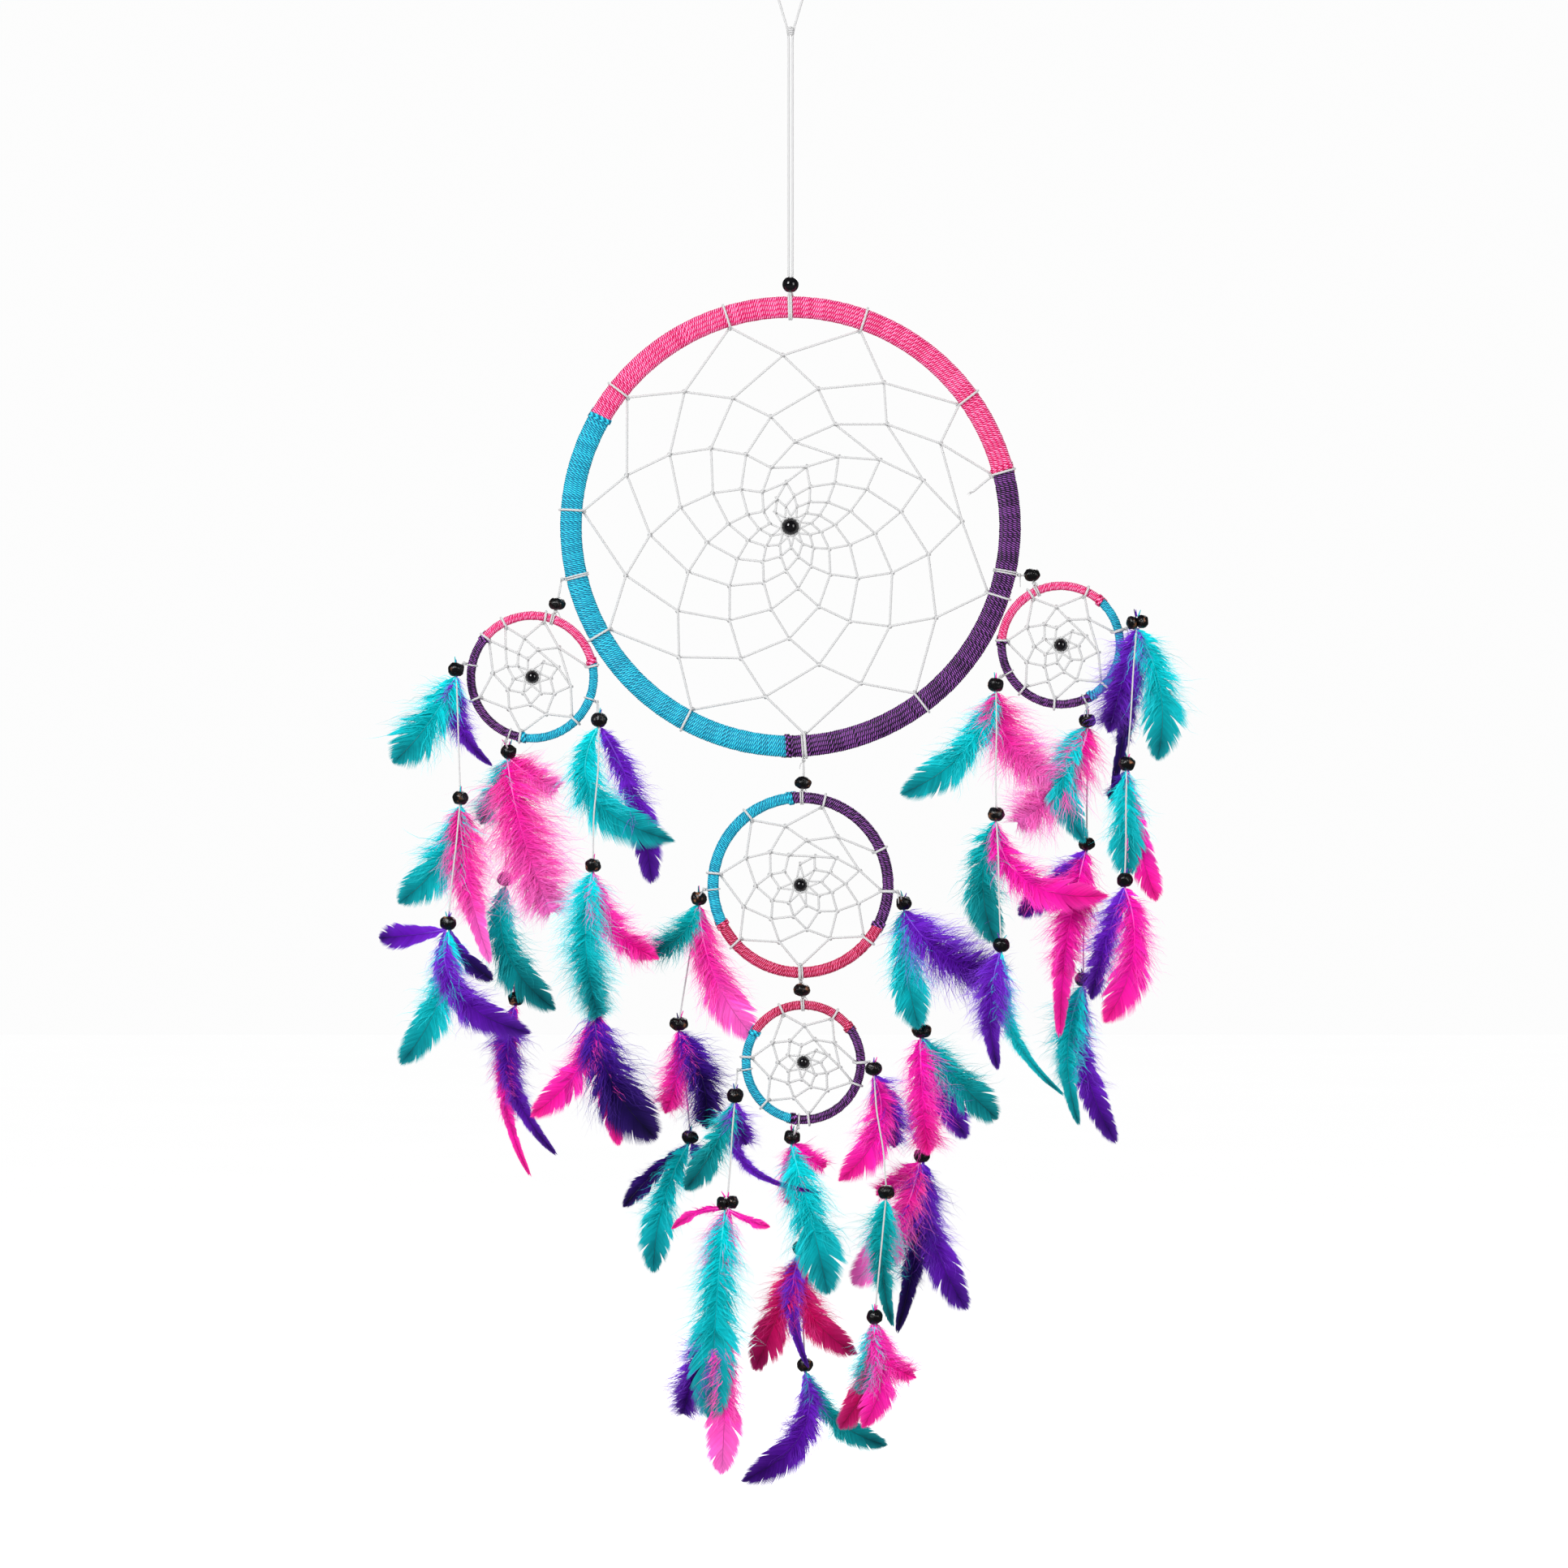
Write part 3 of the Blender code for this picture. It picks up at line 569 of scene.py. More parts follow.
def carved_material():
    """Stained carved seed or wood: near black, with brown showing on the worn high spots."""
    wood = Material("carved_black_bead", 0.3, coat=0.2, specular=0.35)
    flattened = wood.output("Vector", "Mapping", {"Vector": wood.output("Object", "TexCoord"),
                                                  "Scale": (1.0, 1.0, 0.35)})
    grain = wood.output("Fac", "TexNoise", {"Vector": flattened, "Scale": 1500.0, "Detail": 4.0})
    patches = wood.calc("MULTIPLY", wood.noise(260.0, 2.0), wood.value("worn"))
    worn = wood.calc("ADD", patches, wood.calc("MULTIPLY", grain, 0.25))
    stain = wood.ramp(worn, (0.60, srgb(4, 4, 6)), (0.70, srgb(30, 20, 17)), (0.84, srgb(150, 96, 62)))
    wood.set({"Base Color": stain, "Roughness": wood.calc("MULTIPLY_ADD", grain, 0.3, 0.12)})
    wood.bump(grain, 0.8, 0.35)
    return wood.made


def feather_material(key):
    """Dyed down that deepens into the vane, each barb a little lighter or darker than its neighbour, with
    painted shade near the quill and painted highlights towards the barb and hair ends.
    """
    root, middle, tip, pale = FEATHER_COLOURS[key]
    dyed = Material("dyed_feather_" + key, 0.75, specular=0.06)
    calc, edge = dyed.calc, dyed.value("edge")
    along = calc("ADD", dyed.value("along"), calc("MULTIPLY_ADD", dyed.noise(130.0), 0.3, -0.15))
    colour = dyed.ramp(along, (0.05, root), (0.5, middle), (0.95, tip))
    # Painted highlight: the ends of barbs and loose hairs fade towards the pale colour.
    end_highlight = calc("MULTIPLY", calc("MULTIPLY", edge, edge), dyed.value("soft"))
    colour = dyed.output("Color", "MixRGB", {"Fac": end_highlight, "Color1": colour, "Color2": (*pale, 1.0)})
    # Painted shade: each barb is darker near the quill and lighter towards its end.
    tone = calc("MULTIPLY_ADD", edge, 0.16, calc("MULTIPLY_ADD", dyed.value("tint"), 0.9, 0.4))
    dyed.set({"Base Color": dyed.scaled(colour, tone)})
    return dyed.made


def quill_material(key):
    """Translucent horn of the quill, stained by the dye."""
    _, middle, tip, pale = FEATHER_COLOURS[key]
    horn = Material("quill_" + key, 0.4, specular=0.3)
    dark = tuple(0.45 * value for value in tip)
    horn.set({"Base Color": horn.ramp(horn.value("along"), (0.0, pale), (0.35, middle), (0.9, dark))})
    return horn.made


def cane_material():
    """Pale bent cane inside the bindings."""
    cane = Material("bent_cane", 0.6)
    grain = cane.output("Fac", "TexWave", {"Vector": cane.output("Object", "TexCoord"), "Scale": 220.0,
                                           "Distortion": 6.0, "Detail": 3.0}, wave_type="RINGS")
    cane.set({"Base Color": cane.ramp(grain, (0.2, srgb(150, 112, 70)), (0.8, srgb(206, 172, 120)))})
    cane.bump(grain, 0.3, 0.1)
    return cane.made


def floor_material():
    """A floor that glows so that it looks as white as the surround, but is dimmer in a bead's reflections."""
    pale = Material("pale_floor", 0.9, specular=0.1)
    ray = put(pale.tree, "LightPath").outputs
    tone = pale.ramp(pale.noise(3.0), (0.3, (0.5, 0.5, 0.5)), (0.7, (0.52, 0.52, 0.52)))
    dimmer = pale.calc("MULTIPLY_ADD", ray["Is Glossy Ray"], -0.8, 1.0)
    glow = pale.calc("MULTIPLY_ADD", ray["Is Camera Ray"], 0.64, 0.17)
    glow = pale.calc("MULTIPLY_ADD", ray["Is Glossy Ray"], -0.15, glow)
    pale.set({"Base Color": pale.scaled(tone, dimmer), "Emission Color": WHITE, "Emission Strength": glow})
    return pale.made


CORD = cord_material()
GLOSS = gloss_material()
CARVED = carved_material()
CANE = cane_material()
THREADS = {key: thread_material(key) for key in THREAD_COLOURS}
FEATHERS = {key: (feather_material(key), quill_material(key)) for key in FEATHER_COLOURS}


# ---- hoops

def section(name, around, proud=0.0):
    """Radius offset and y of a bound hoop's section: 0 degrees is outermost, 270 the front."""
    band, depth = HOOPS[name].band, PLACES[name][2]
    c, s = np.cos(np.radians(around)), np.sin(np.radians(around))
    power = 2 / SECTION_POWER
    across = (band / 2 + proud) * np.sign(c) * np.abs(c) ** power
    deep = (depth / 2 + proud) * np.sign(s) * np.abs(s) ** power
    return PLACES[name][1] - band / 2 + across, deep


def binding(name, first, last, colour, replaces):
    """Threads wound round the cane over part of a hoop, as one ridged shell."""
    turns = int(round(2 * pi * (PLACES[name][1] - HOOPS[name].band / 2) / HOOPS[name].thread))
    columns = 23 if name == "main" else 17
    start, end = int(round(first / 360 * turns)), int(round(last / 360 * turns))
    thread = np.arange(start * TURN_ROWS, end * TURN_ROWS + 1) / TURN_ROWS
    around = np.linspace(150.0, 510.0, columns)
    ridge = np.sqrt(1 - (2 * (thread % 1.0) - 1) ** 2)
    uneven = draws(start, turns).normal(0.0, 0.05, end + 2)[thread.astype(int) - start]
    sunk = (uneven + ridge * RIDGE - RIDGE)[:, None]
    angle = (thread[:, None] + STARTS * (around - 330.0)[None, :] / 360) / turns * 360
    out, deep = section(name, around)
    points = polar(name, out[None, :] + sunk * np.cos(np.radians(around)), angle)
    points[..., 1] += deep[None, :] + sunk * np.sin(np.radians(around))
    perimeter = np.concatenate([[0.0], np.cumsum(np.hypot(np.diff(out), np.diff(deep)))])
    shape = Shape()
    # The ridge values also let the thread material paint highlights on each turn's crown and shade in the
    # grooves between turns.
    shape.add(points, [grid(len(thread), columns)], thread=np.repeat(thread + 0.001, columns),
              ridge=np.repeat(ridge, columns), around=np.tile(perimeter, len(thread)))
    end_turns(shape, name, first, turns)
    shape.build(f"{name}_binding_{colour}", name + "_hoop", [THREADS[colour]],
                replaces)


def end_turns(shape, name, angle, turns):
    """A few slanting turns of the new thread over the end of the one before it."""
    for k in range(END_TURNS):
        shift, proud = k * END_THREAD * 1.5 - END_LEAN, END_THREAD * (0.6 + 0.1 * k)
        path = band_turn(name, angle, shift, OUTER_SIDE, proud)
        lean = np.linspace(-1.0, 1.0, len(path))[:, None] * END_LEAN
        add_cord(shape, path + lean * radial(name, angle + 90), END_THREAD, plies=2, ridge=0.8,
                 thread=turns * angle / 360 + k * 1.3)


def band_turn(name, angle, shift=0.0, ends=INNER_SIDE, proud=WEB_CORD + 0.02):
    """A turn of cord round a hoop's band, between two places on its section by way of the front."""
    around = np.linspace(*ends, 22)
    out, deep = section(name, around, proud)
    drift = np.degrees(np.linspace(-0.45, 0.45, len(around)) + shift) / PLACES[name][1]
    points = polar(name, out, angle + drift)
    points[:, 1] += deep
    return points


def web_knots(name):
    """Radius and angle of every knot of the web, from the anchors on the hoop inwards."""
    laps = [HOOPS[name].anchors]
    for _ in HOOPS[name].rows[1:]:
        last = laps[-1]
        laps.append([(a + b) / 2 + WEB_TWIST for a, b in zip(last, list(last[1:]) + [last[0] + 360])])
    reach = PLACES[name][1] - HOOPS[name].band - WEB_CORD - LAP_GAP
    return [(reach * row, angle) for row, angles in zip(HOOPS[name].rows, laps) for angle in angles]


def web(name):
    """One long cord: hitched round the band, then hooked over the row before, knotted at each crossing."""
    count = len(HOOPS[name].anchors)
    knots = web_knots(name)
    path = []
    for index, (radius, angle) in enumerate(knots[:-count]):
        if index < count:
            path += list(band_turn(name, angle))
        else:
            path.append(polar(name, radius, angle, WEB_LAYER))
        path.append(polar(name, *knots[index + count], -WEB_LAYER))
    shape = Shape()
    add_cord(shape, path, WEB_CORD, reach=0.7)
    for radius, angle in knots:
        add_coil(shape, polar(name, radius + 0.2, angle), radial(name, angle + 82), 0.95, 1.6, 0.9, 0.4)
    web_centre(shape, name, knots[-count:])
    shape.build(name + "_web_cord", name + "_hoop", [CORD], (name + "_web",))


def web_centre(shape, name, knots):
    """The last short loops from the innermost row to the bead, and the twisted ring round the bead."""
    ring, hole = HOOPS[name].bead + 0.55, HOOPS[name].bead + 0.4
    path = []
    for (radius, angle), (_, following) in zip(knots, knots[1:] + [(0, knots[0][1] + 360)]):
        path.append(polar(name, radius, angle, WEB_LAYER / 2))
        path.append(polar(name, ring + 0.5, (angle + following) / 2, -WEB_LAYER / 2))
    add_cord(shape, path, WEB_CORD * 0.9, reach=0.7)
    turn = np.linspace(0.0, 720.0, 56)
    twist = np.radians(turn * 6.5)
    add_cord(shape, polar(name, ring + 0.28 * np.sin(twist), turn, 0.7 * np.cos(twist)), WEB_CORD * 0.8,
             reach=0.0)
    add_cord(shape, [polar(name, radius, knots[-1][1]) for radius in (hole, 0.0, -hole)], 0.34, reach=0.0)


def loose_tail():
    """The cut end of the main web's cord beside its first anchor, frayed at the tip."""
    start = polar("main", PLACES["main"][1] - HOOPS["main"].band - 0.6, TAIL_ANGLE)
    path = [start, start + (-2.0, -0.8, -1.6), start + (-5.5, -1.0, -4.4), start + (-9.2, -0.6, -7.6)]
    shape = Shape()
    add_cord(shape, path, WEB_CORD)
    rng = draws(TAIL_SEED)
    for _ in range(TAIL_STRANDS):
        spread = rng.normal(0.0, 0.7, 3)
        end = path[-1] + (-1.6, 0.0, -1.0) + spread
        add_cord(shape, [path[-1], (path[-1] + end) / 2 + spread * 0.2, end], 0.14, plies=2, taper=0.4)
    add_coil(shape, start + (0.2, -0.4, 0.0), (0.5, 0.0, 0.8), 0.9, 2.2, 1.2, 0.42)
    shape.build("main_web_tail", "main_hoop", [CORD])


def turned_bead(name, centre, radius, bore, axis, body, replaces):
    """A polished round bead with a bore: a closed profile turned about its axis."""
    bore_angle = np.arcsin(bore / radius)
    lip = radius * cos(bore_angle)
    profile = [(radius * sin(a), radius * cos(a)) for a in np.linspace(bore_angle, pi - bore_angle, 25)]
    profile += [(bore * 0.86, -lip + 0.25), (bore * 0.86, lip - 0.25)]
    turn = (np.arange(BEAD_SIDES) * 2 * pi / BEAD_SIDES)[:, None]
    axis = unit(np.asarray(axis, float))
    first = unit(np.cross(axis, (0.0, 1.0, 0.001)))
    ring = first * np.cos(turn) + np.cross(axis, first) * np.sin(turn)
    shape = Shape()
    shape.add([centre + ring * r + axis * h for r, h in profile],
              [grid(len(profile), BEAD_SIDES, True, True)[:, ::-1]])
    shape.build(name, body, [GLOSS], replaces)


def string_tie(shape, name, angle, turns):
    """The string's own turns round the band and its knot on the outside."""
    for k in range(turns):
        shift = (k - (turns - 1) / 2) * 1.05
        add_cord(shape, band_turn(name, angle, shift, OUTER_SIDE, STRING_CORD + 0.02), STRING_CORD)
    knot = knot_point(name, angle)
    inward = unit(PLACES[name][0] - knot)
    across = np.cross(inward, (0.0, 1.0, 0.0))
    add_coil(shape, knot + inward * 0.7, across, 0.8, 2.3, 1.3, STRING_CORD)
    add_cord(shape, [knot, knot + across * 1.5 + (0.0, -0.8, -0.6), knot + across * 2.2 + (0.3, -1.2, -3.4)],
             STRING_CORD * 0.8, taper=0.7)


def hoop(name):
    """Bindings, web, bead and the ties of the cords that hang from the hoop."""
    body, covered = name + "_hoop", (name + "_wrap",)
    for first, last, colour in HOOPS[name].segments:
        binding(name, first, last, colour, covered)
        covered = ()
    web(name)
    bore_axis = radial(name, web_knots(name)[-1][1])
    turned_bead(name + "_bead", PLACES[name][0], HOOPS[name].bead, WEB_BORE, bore_axis, body,
                (name + "_web_bead",))
    shape = Shape()
    for string in STRINGS.values():
        if string.hoop == name:
            string_tie(shape, name, string.angle, 1)
    for link in LINKS.values():
        if link.upper == name:
            string_tie(shape, name, link.upper_angle, 2)
    shape.build(name + "_string_ties", body, [CORD])
    ring = frame["nodes"][name + "_ring"].data
    ring.materials.clear()
    ring.materials.append(CANE)


def hanger():
    """The doubled cord with its loop for the hook, and the hitch that holds the main hoop below the bead."""
    bead = JOINTS["main_turn"]
    centre = HOOK_HEIGHT + HANGER_CORD - 0.12 - EYE_RADIUS
    half = HANGER_CORD + 0.3
    turn = np.radians(np.linspace(-12.0, 192.0, 25))
    arc = [np.array((EYE_RADIUS * cos(a), 0.0, centre + EYE_RADIUS * sin(a))) for a in turn]
    foot, neck = bead[2] + 1.0, centre - EYE_NECK
    left = [(-half, 0.0, neck), (-half, 0.25, (neck + foot) / 2), (-half, 0.0, foot)]
    right = [(-x, -y, z) for x, y, z in left[::-1]]
    shape = Shape()
    add_cord(shape, right + arc + left, HANGER_CORD)
    add_coil(shape, np.array((0.0, 0.0, neck + 1.0)), (0.0, 0.0, 1.0), 1.55, 3.4, 3.4, HANGER_CORD * 0.9)
    shape.build("hanger_double_cord", "hanger", [CORD], ("hanger_cord",))
    turned_bead("hanger_gloss_bead", bead, GLOSS_BEAD, HANGER_BORE, (0.0, 0.0, 1.0), "main_hoop",
                ("hanger_bead",))
    shape = Shape()
    for shift in (-0.55, 0.55):
        front, back = bead + (shift * 0.5, -0.4, -2.0), bead + (shift * 0.5, 0.4, -2.0)
        add_cord(shape, [front, *band_turn("main", 90.0, shift, OUTER_SIDE), back], WEB_CORD)
    shape.build("hanger_hitch_cord", "main_hoop", [CORD], ("hanger_hitch",))


def link(name):
    """The cord from the hoop above, through a carved bead, tied round the small hoop."""
    spec, body = LINKS[name], name + "_hoop"
    start, end = knot_point(spec.upper, spec.upper_angle), knot_point(name, spec.lower_angle)
    bead = np.array(spec.bead)
    shape = Shape()
    add_cord(shape, [start, start * 0.5 + bead * 0.5 + (0.4, 0.0, 0.0), bead, end], STRING_CORD)
    add_cord(shape, [start + (0.0, 0.5, 0.0), bead + (0.0, 0.4, 0.0), end + (0.3, 0.4, 0.0)], STRING_CORD)
    string_tie(shape, name, spec.lower_angle, 2)
    carved_bead(shape, bead, LINK_BEAD, name_seed(name))
    shape.build(name + "_link_cord_and_bead", body, [CORD, CARVED], (name + "_link",))


# ---- beads and feathers

def carved_bead(shape, centre, size, seed, heart=False):
    """A knife-cut bead: a ball with random flats, dents and a dimpled hole at top and bottom."""
    bm = bmesh.new()
    bmesh.ops.create_icosphere(bm, subdivisions=4, radius=1.0)
    points = np.array([v.co for v in bm.verts])
    triangles = np.array([[v.index for v in f.verts] for f in bm.faces])
    bm.free()
    rng = draws(seed)
    radius = np.ones(len(points))
    normals = unit(rng.normal(size=(BEAD_FLATS, 3)))
    for normal, distance in zip(normals, rng.uniform(0.87, 0.97, BEAD_FLATS)):
        facing = points @ normal
        radius = np.minimum(radius, np.where(facing > 0.3, distance / np.maximum(facing, 0.3), 9.0))
    offset = Vector(rng.uniform(-50.0, 50.0, 3))
    lumps, scratches = (np.array([noise.noise(Vector(p) * scale + offset) for p in points])
                        for scale in (2.1, 6.5))
    radius = 0.75 * radius + 0.25 * np.minimum(radius, 1 + 0.2 * lumps) - 0.07 * np.abs(scratches)
    x, y, z = points.T
    if heart:
        radius *= 1 + 0.16 * np.abs(x) - 0.22 * np.exp(-(x / 0.28) ** 2) * (z > 0)
    radius = radius - 0.3 * np.exp(-(np.hypot(x, y) / 0.24) ** 2)
    shape.add(centre + points * radius[:, None] * np.array(size), [triangles], slot=1,
              worn=rise(radius, 0.80, 0.18))


def quill_path(start, layer, mid_lean, tip_lean, length, t):
    """Points along a feather's quill. It leaves the bead and drifts out to its own layer in y."""
    def toward(lean, reach):
        return np.array((reach * sin(radians(lean)), 0.0, -reach * cos(radians(lean))))
    tip = toward(tip_lean, length)
    control = toward(mid_lean, length) - tip / 2
    t = np.asarray(t, float)[:, None]
    points = start + control * 2 * t * (1 - t) + tip * t ** 2
    drift = rise(t[:, 0] * length, 0.0, 16.0)
    points[:, 1] = start[1] + (layer - start[1]) * drift * drift * (3 - 2 * drift)
    return points


def outline(t, style, width):
    """Half width of a feather along its length: a quick swell at the root, a waist, a blunt round tip."""
    swell = style.waist * np.clip(t / 0.16, 0.15, 1) ** 0.6
    widen = swell + (1 - style.waist) * rise(t, 0.16, 0.56) ** 1.3
    return width / 2 * widen * np.sqrt(np.clip(1.0 - np.clip(t, 0, 1) ** style.blunt, 0, 1))


def barb_length(t, slant, style, width, length):
    """How long barbs may be so that their ends lie on the feather's outline, found by halving."""
    shortest, longest = np.zeros_like(t), np.full_like(t, 1.5 * width)
    for _ in range(14):
        middle = (shortest + longest) / 2
        inside = middle * np.sin(slant) <= outline(t + middle * np.cos(slant) / length, style, width)
        shortest, longest = np.where(inside, middle, shortest), np.where(inside, longest, middle)
    return shortest


def add_barbs(shape, rng, base, first, last, depth, length, width, tilt, tint, t, soft, joints, wave):
    """Many curved ribbons at once. Angles are degrees from the quill's direction."""
    start, along, side, facing = base
    phase = rng.uniform(0, 1, len(t))
    steps = np.linspace(0.0, 1.0, joints + 1)[None, :]
    angle = np.radians(first[:, None] + (last - first)[:, None] * steps
                       + wave[:, None] * np.sin(2 * pi * (steps * 1.3 + phase[:, None])))
    lift = np.radians(depth)[:, None] * (1 - 0.5 * steps)
    direction = ((along[:, None] * np.cos(angle)[..., None] + side[:, None] * np.sin(angle)[..., None])
                 * np.cos(lift)[..., None] + facing[:, None] * np.sin(lift)[..., None])
    moves = direction * (length / joints)[:, None, None]
    path = start[:, None] + np.cumsum(moves, 1) - moves
    across = unit(np.cross(direction, np.broadcast_to(facing[:, None], direction.shape)))
    turn = np.radians(tilt)[:, None, None]
    across = across * np.cos(turn) + np.cross(direction, across) * np.sin(turn)
    half = width[:, None] * np.clip(1.04 - steps ** 1.7, 0, 1) / 2
    points = np.stack([path - across * half[..., None], path + across * half[..., None]], 2)
    level = start[:, None, None, 1]
    points[..., 1] = level + DOWN_DEPTH * np.tanh((points[..., 1] - level) / DOWN_DEPTH)
    each = (joints + 1) * 2
    faces = (grid(joints + 1, 2)[None] + (np.arange(len(start)) * each)[:, None, None]).reshape(-1, 4)
    # soft and edge let the feather material paint a pale highlight on the ribbon ends and shade near the
    # quill.
    shape.add(points, [faces], tint=np.repeat(tint, each), along=np.repeat(t, each), soft=soft,
              edge=np.tile(np.repeat(steps[0], 2), len(start)))


def feather(name, start, layer, spec, body):
    """A dyed feather: tapered quill, a downy lower part with loose hairs, and a firm vane towards its tip."""
    colour, style_name, mid_lean, tip_lean, length, width = spec
    style = STYLES[style_name]
    width *= FULLNESS
    rng = draws(name_seed(name))

    def at(t):
        return quill_path(start, layer, mid_lean, tip_lean, length, t)

    def base(t, sign):
        along = unit(at(t + 0.004) - at(t - 0.004))
        facing = np.tile((0.0, -1.0, 0.0), (len(t), 1))
        return at(t), along, unit(np.cross(along, facing)) * sign[:, None], facing

    shape = Shape()
    vane(shape, rng, style, base, length, width)
    down(shape, rng, style, base, length, width)
    hairs(shape, rng, style, base, length, width)
    t = np.linspace(0.0, QUILL_SHARE, 16)
    add_tube(shape, at(t) - (0.0, 0.12, 0.0), 0.36 * (1 - t) ** 0.9 + 0.07, 5, slot=1, along=np.repeat(t, 5))
    shape.build(name, body, FEATHERS[colour])


def clumps(rng, t, sign, length, size):
    """Neighbouring barbs hook together: each barb's place in its clump, and the clump's random value."""
    place = t * length / size + sign * 0.3
    index = np.floor(place).astype(int)
    return place - index - 0.5, rng.normal(0.0, 1.0, 400)[index + np.where(sign > 0, 2, 200)]


def vane(shape, rng, style, base, length, width):
    """Firm barbs that lap like tiles, parted here and there at the edge."""
    count = max(6, int((QUILL_SHARE - style.down + 0.06) * length / VANE_SPACING))
    t = np.repeat(np.linspace(style.down - 0.06, QUILL_SHARE, count), 2)
    sign = np.tile((1.0, -1.0), count)
    place, value = clumps(rng, t, sign, length, 5.5)
    closing = rise(t, 0.7, 0.25)
    pointed = rise(t, QUILL_SHARE - 0.05, 0.05)
    parted = 1 - closing
    first = 46.0 - 22.0 * closing - 19.0 * pointed + value * 1.5 * parted
    last = 26.0 - 13.0 * closing - 10.0 * pointed
    last = last + (value * 3.0 + place * (6.0 + 9.0 * np.abs(value))) * parted
    slant = np.radians(first * 0.45 + last * 0.55)
    long = barb_length(t, slant, style, width, length) * np.clip(0.95 + 0.05 * value, 0.8, 1.03)
    long = long * rng.uniform(0.94, 1.02, len(t))
    add_barbs(shape, rng, base(t, sign), first, last, 6.0 + rng.normal(0.0, 1.2, len(t)), long,
              np.full(len(t), VANE_SPACING * 1.7), 9.0 * sign,
              0.5 + 0.08 * value + rng.normal(0.0, 0.08, len(t)), t, 0.25, 4, rng.uniform(0.0, 1.0, len(t)))


def down(shape, rng, style, base, length, width):
    """The soft body of the downy part: short broad barbs, uneven, close to the quill."""
    count = max(4, int(style.down * length / DOWN_SPACING))
    t = np.repeat(np.linspace(0.02, style.down + 0.04, count), 2)
    sign = np.tile((1.0, -1.0), count)
    place, value = clumps(rng, t, sign, length, 3.4)
    first = style.first - 4.0 + value * 6.0
    last = style.last + value * 7.0 + place * 14.0
    slant = np.radians((first + last) / 2)
    long = outline(t, style, width) / np.sin(np.clip(slant, 0.4, 1.5))
    long = long * np.clip(0.66 + 0.14 * value + rng.normal(0.0, 0.1, len(t)), 0.3, 1.0)
    add_barbs(shape, rng, base(t, sign), first, last, rng.normal(0.0, style.depth * 0.4, len(t)), long,
              rng.uniform(0.8, 1.3, len(t)), rng.normal(0.0, 24.0, len(t)),
              0.44 + 0.12 * value + rng.normal(0.0, 0.12, len(t)), t, 0.35, 4,
              rng.uniform(2.0, 9.0, len(t)))


def hairs(shape, rng, style, base, length, width):
    """Fine loose hairs all along the down, some straying over the start of the vane."""
    count = int(style.down * length * style.hairs)
    t = np.sort(0.012 + (style.down + 0.05) * rng.uniform(0.0, 1.0, count) ** 0.9)
    sign = rng.choice((-1.0, 1.0), count)
    place, value = clumps(rng, t, sign, length, 2.4)
    first = rng.normal(style.first, 15.0, count) + value * 7.0
    last = rng.normal(style.last, 18.0, count) + value * 14.0 + place * 26.0
    long = outline(t, style, width) / 0.75 * np.minimum(rng.lognormal(0.0, style.spread * 0.62, count), 1.8)
    add_barbs(shape, rng, base(t, sign), first, last, rng.normal(0.0, style.depth * 0.75, count), long,
              rng.uniform(0.13, 0.3, count), rng.uniform(-60.0, 60.0, count), rng.normal(0.6, 0.16, count), t,
              0.85, 5, rng.uniform(6.0, 30.0, count))


def quill_stubs(name, bead, colours, body):
    """Cut quill ends that stand out of the top of a bead beside the cord."""
    rng = draws(name_seed(name))
    shape = Shape()
    for index in range(len(colours)):
        lean = rng.normal(0.0, 0.9, 2)
        root = bead + (0.5 * lean[0], 0.4 * lean[1], CARVED_BEAD - 1.4)
        tip = root + (lean[0], lean[1] * 0.6, rng.uniform(2.0, 3.6))
        add_tube(shape, np.linspace(root, tip, 5), np.linspace(0.45, 0.2, 5), 6, slot=index, along=0.35)
    shape.build(name, body, [FEATHERS[colour][1] for colour in colours])


def string(name):
    """A string of three beads with the feathers tucked into each of them."""
    above = knot_point(STRINGS[name].hoop, STRINGS[name].angle)
    for index, (bead, tuft) in enumerate(zip(bead_centres(name), STRINGS[name].tufts), 1):
        body, node, key = f"{name}_tuft_{index}", f"{name}_drop_{index}", f"{name}_{index}"
        rng = draws(name_seed(node))
        shape = Shape()
        sway = rng.normal(0.0, 0.35, 3)
        path = [above, above * 0.66 + bead * 0.34 + sway, above * 0.33 + bead * 0.67 - sway, bead]
        add_cord(shape, path, STRING_CORD)
        if key in TWIN_BEADS:
            carved_bead(shape, bead + (-2.3, 0.2, -0.3), (3.0, 3.6, 3.7), name_seed(key))
            carved_bead(shape, bead + (2.5, -0.1, 0.3), (3.1, 3.7, 3.6), name_seed(key) + 1)
        else:
            size = np.array((CARVED_BEAD * 1.08, CARVED_BEAD, CARVED_BEAD)) * rng.uniform(0.92, 1.0, 3)
            carved_bead(shape, bead, size, name_seed(key), key in HEART_BEADS)
        shape.build(node + "_cord_and_bead", body, [CORD, CARVED], (node,))
        for number, (spec, lane) in enumerate(zip(tuft, lanes(node, bead, len(tuft), key in FRONT_TUFTS))):
            root = bead + (0.7 * (number - (len(tuft) - 1) / 2), 0.0, -CARVED_BEAD + 1.0)
            feather(f"{node}_feather_{number + 1}", root, lane, spec, body)
        quill_stubs(node + "_quill_ends", bead, [spec[0] for spec in tuft][:3], body)
        above = bead


def lanes(node, bead, count, in_front):
    """The y of each feather of a drop, front one first, on the side of the cord that its CAD box reaches."""
    low, high = (corner[1] - ORIGIN[1] - bead[1] for corner in box_mm(node))
    outer = high if high > -low else low
    outer = -abs(outer) if in_front else outer
    return sorted(bead[1] + outer * (0.62 + 0.38 * (np.arange(count) + 0.5) / count))


# ---- stage, light and camera

VIEW_WIDTH = 748.2         # at the object's plane
VIEW_CENTRE = (-3.1, -122.8)
CAMERA_DISTANCE = 5000.0
SENSOR_WIDTH = 36.0
FLOOR_DROP = 70.0          # floor below the lowest feather
FLOOR_SIZE = 12.0          # metres to each side
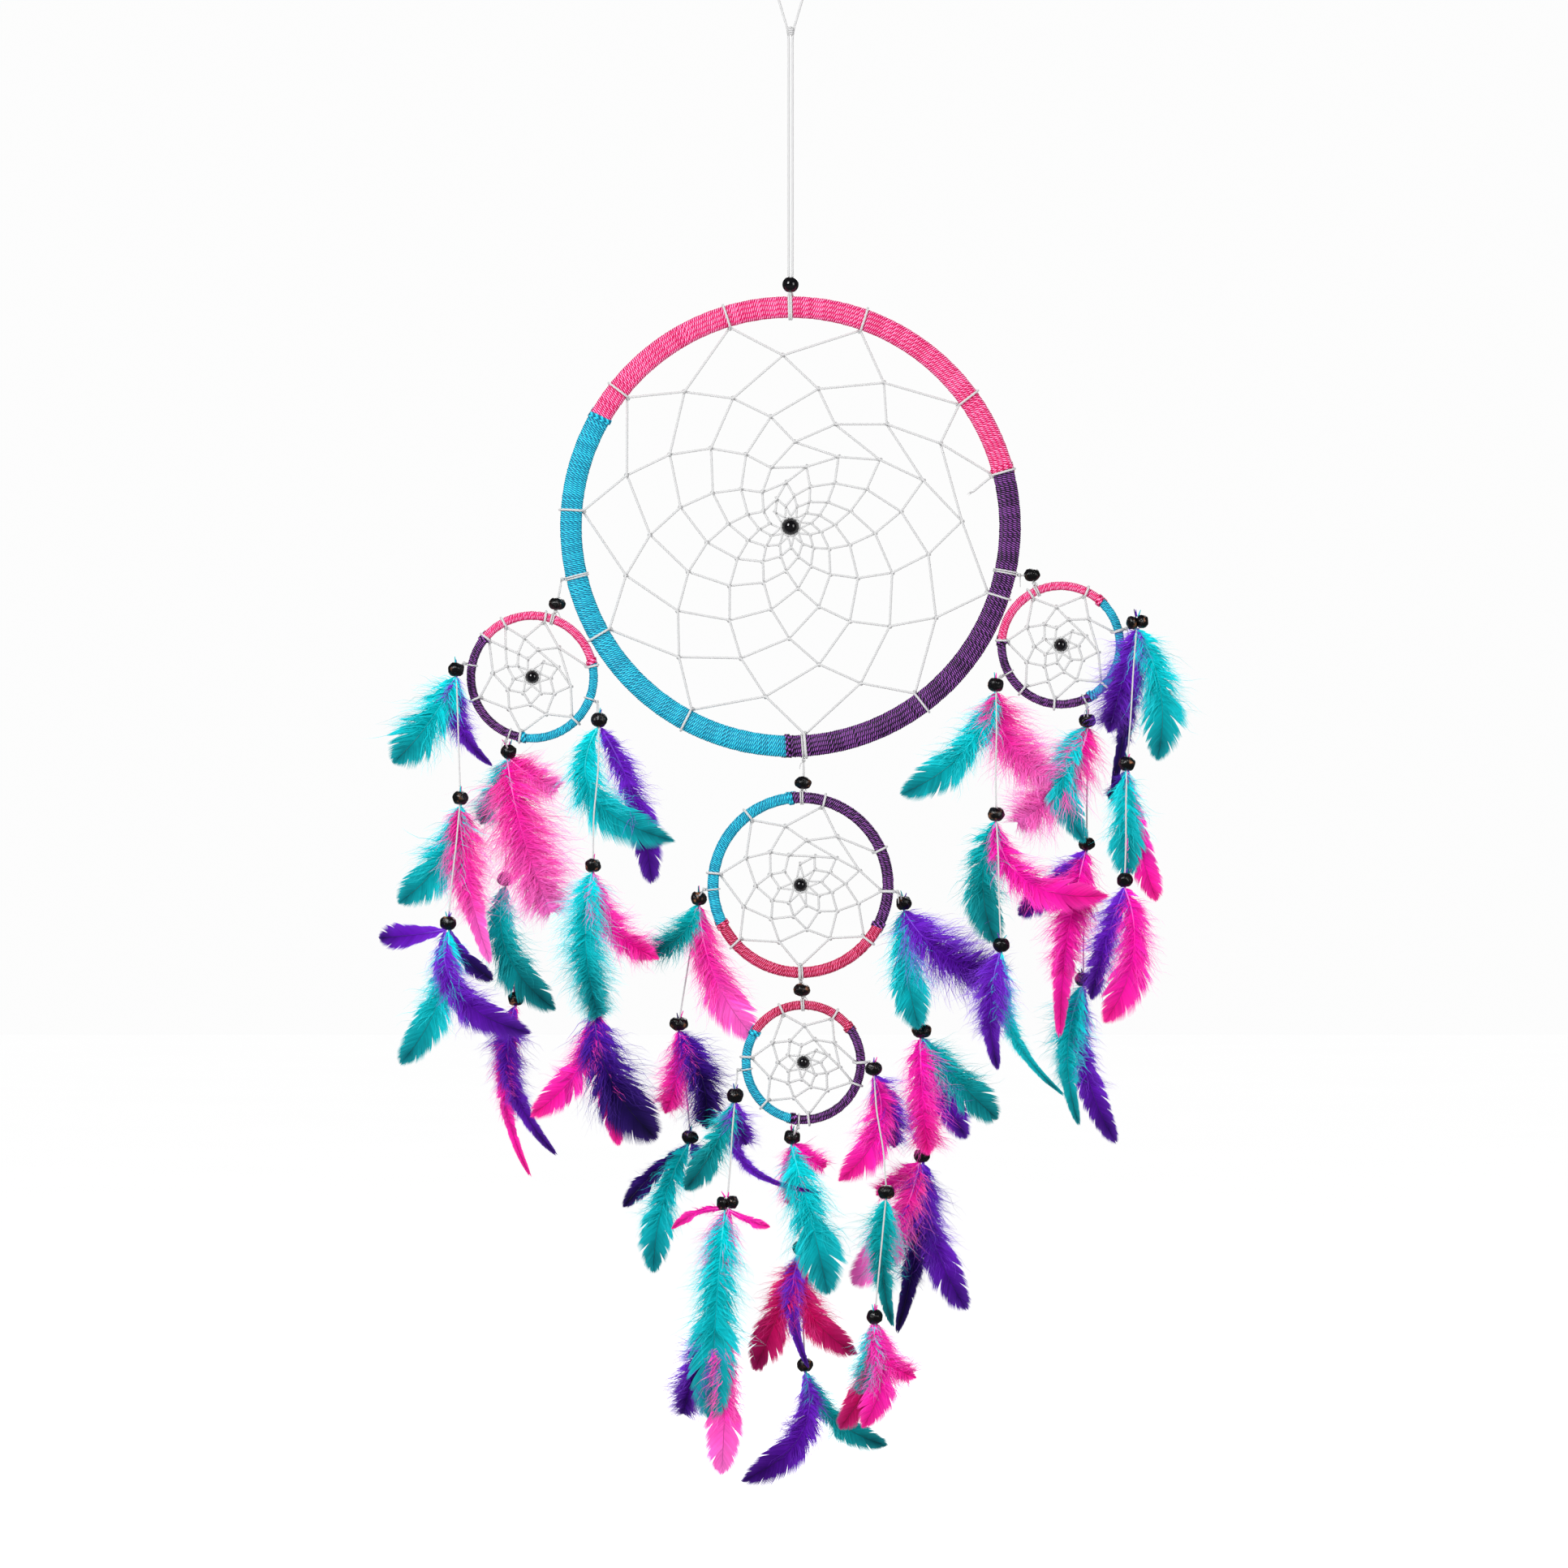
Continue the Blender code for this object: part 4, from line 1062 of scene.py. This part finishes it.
# Name, place from the object's centre and size in metres, and watts.
LIGHTS = (("key", (-1.3, -1.9, 1.2), (0.9, 1.2), 52.0), ("fill", (1.6, -1.7, 0.5), (0.9, 1.3), 18.0),
          ("back", (0.4, 2.2, 1.3), (1.4, 1.4), 30.0))


def floor(lowest):
    """A wide pale floor below the object."""
    bm = bmesh.new()
    bmesh.ops.create_grid(bm, x_segments=24, y_segments=24, size=FLOOR_SIZE)
    mesh = bpy.data.meshes.new("floor")
    bm.to_mesh(mesh)
    bm.free()
    mesh.materials.append(floor_material())
    obj = placed(bpy.data.objects.new("floor", mesh))
    obj.location.z = lowest - FLOOR_DROP * MM
    obj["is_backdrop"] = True


def soft_light(name, location, target, size, power):
    """A rectangular light that looks at a target."""
    data = bpy.data.lights.new(name, "AREA")
    data.shape = "RECTANGLE"
    data.size, data.size_y = size
    data.energy = power
    obj = placed(bpy.data.objects.new(name, data))
    obj.location = location
    obj.rotation_mode = "QUATERNION"
    obj.rotation_quaternion = (target - location).to_track_quat("-Z", "Y")


def studio(centre):
    """Two soft windows in front, one light behind, and a pale surround that is dimmer in reflections."""
    for name, offset, size, power in LIGHTS:
        soft_light(name, centre + Vector(offset), centre, size, power)
    world = bpy.data.worlds.new("studio")
    bpy.context.scene.world = world
    world.use_nodes = True
    tree = world.node_tree
    lit, output = tree.nodes["Background"], tree.nodes["World Output"]
    ray = put(tree, "LightPath").outputs
    dimmer = put(tree, "Math", {0: ray["Is Glossy Ray"], 1: -0.30, 2: 0.37}, operation="MULTIPLY_ADD")
    feed(tree, lit, {"Color": WHITE, "Strength": dimmer.outputs[0]})
    seen = put(tree, "Background", {"Color": WHITE, "Strength": 0.98})
    mix = put(tree, "MixShader", {"Fac": ray["Is Camera Ray"], 1: lit.outputs[0], 2: seen.outputs[0]})
    feed(tree, output, {"Surface": mix.outputs[0]})


def camera():
    """A long lens straight in front, as high as the middle of the view."""
    data = bpy.data.cameras.new("camera")
    data.sensor_width = SENSOR_WIDTH
    data.lens = SENSOR_WIDTH * CAMERA_DISTANCE / VIEW_WIDTH
    data.clip_end = 50.0
    obj = placed(bpy.data.objects.new("camera", data))
    x, z = VIEW_CENTRE
    obj.location = Vector(((np.array((x, -CAMERA_DISTANCE, z)) + ORIGIN * (1, 0, 1)) * MM).tolist())
    obj.rotation_euler = (pi / 2, 0.0, 0.0)
    bpy.context.scene.camera = obj


# ---- assembly

for hoop_name in HOOPS:
    hoop(hoop_name)
loose_tail()
hanger()
for link_name in LINKS:
    link(link_name)
for string_name in STRINGS:
    string(string_name)

visual_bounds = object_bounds()
floor(visual_bounds[0].z)
studio((visual_bounds[0] + visual_bounds[1]) / 2)
camera()
bpy.context.scene.view_settings.view_transform = "Standard"
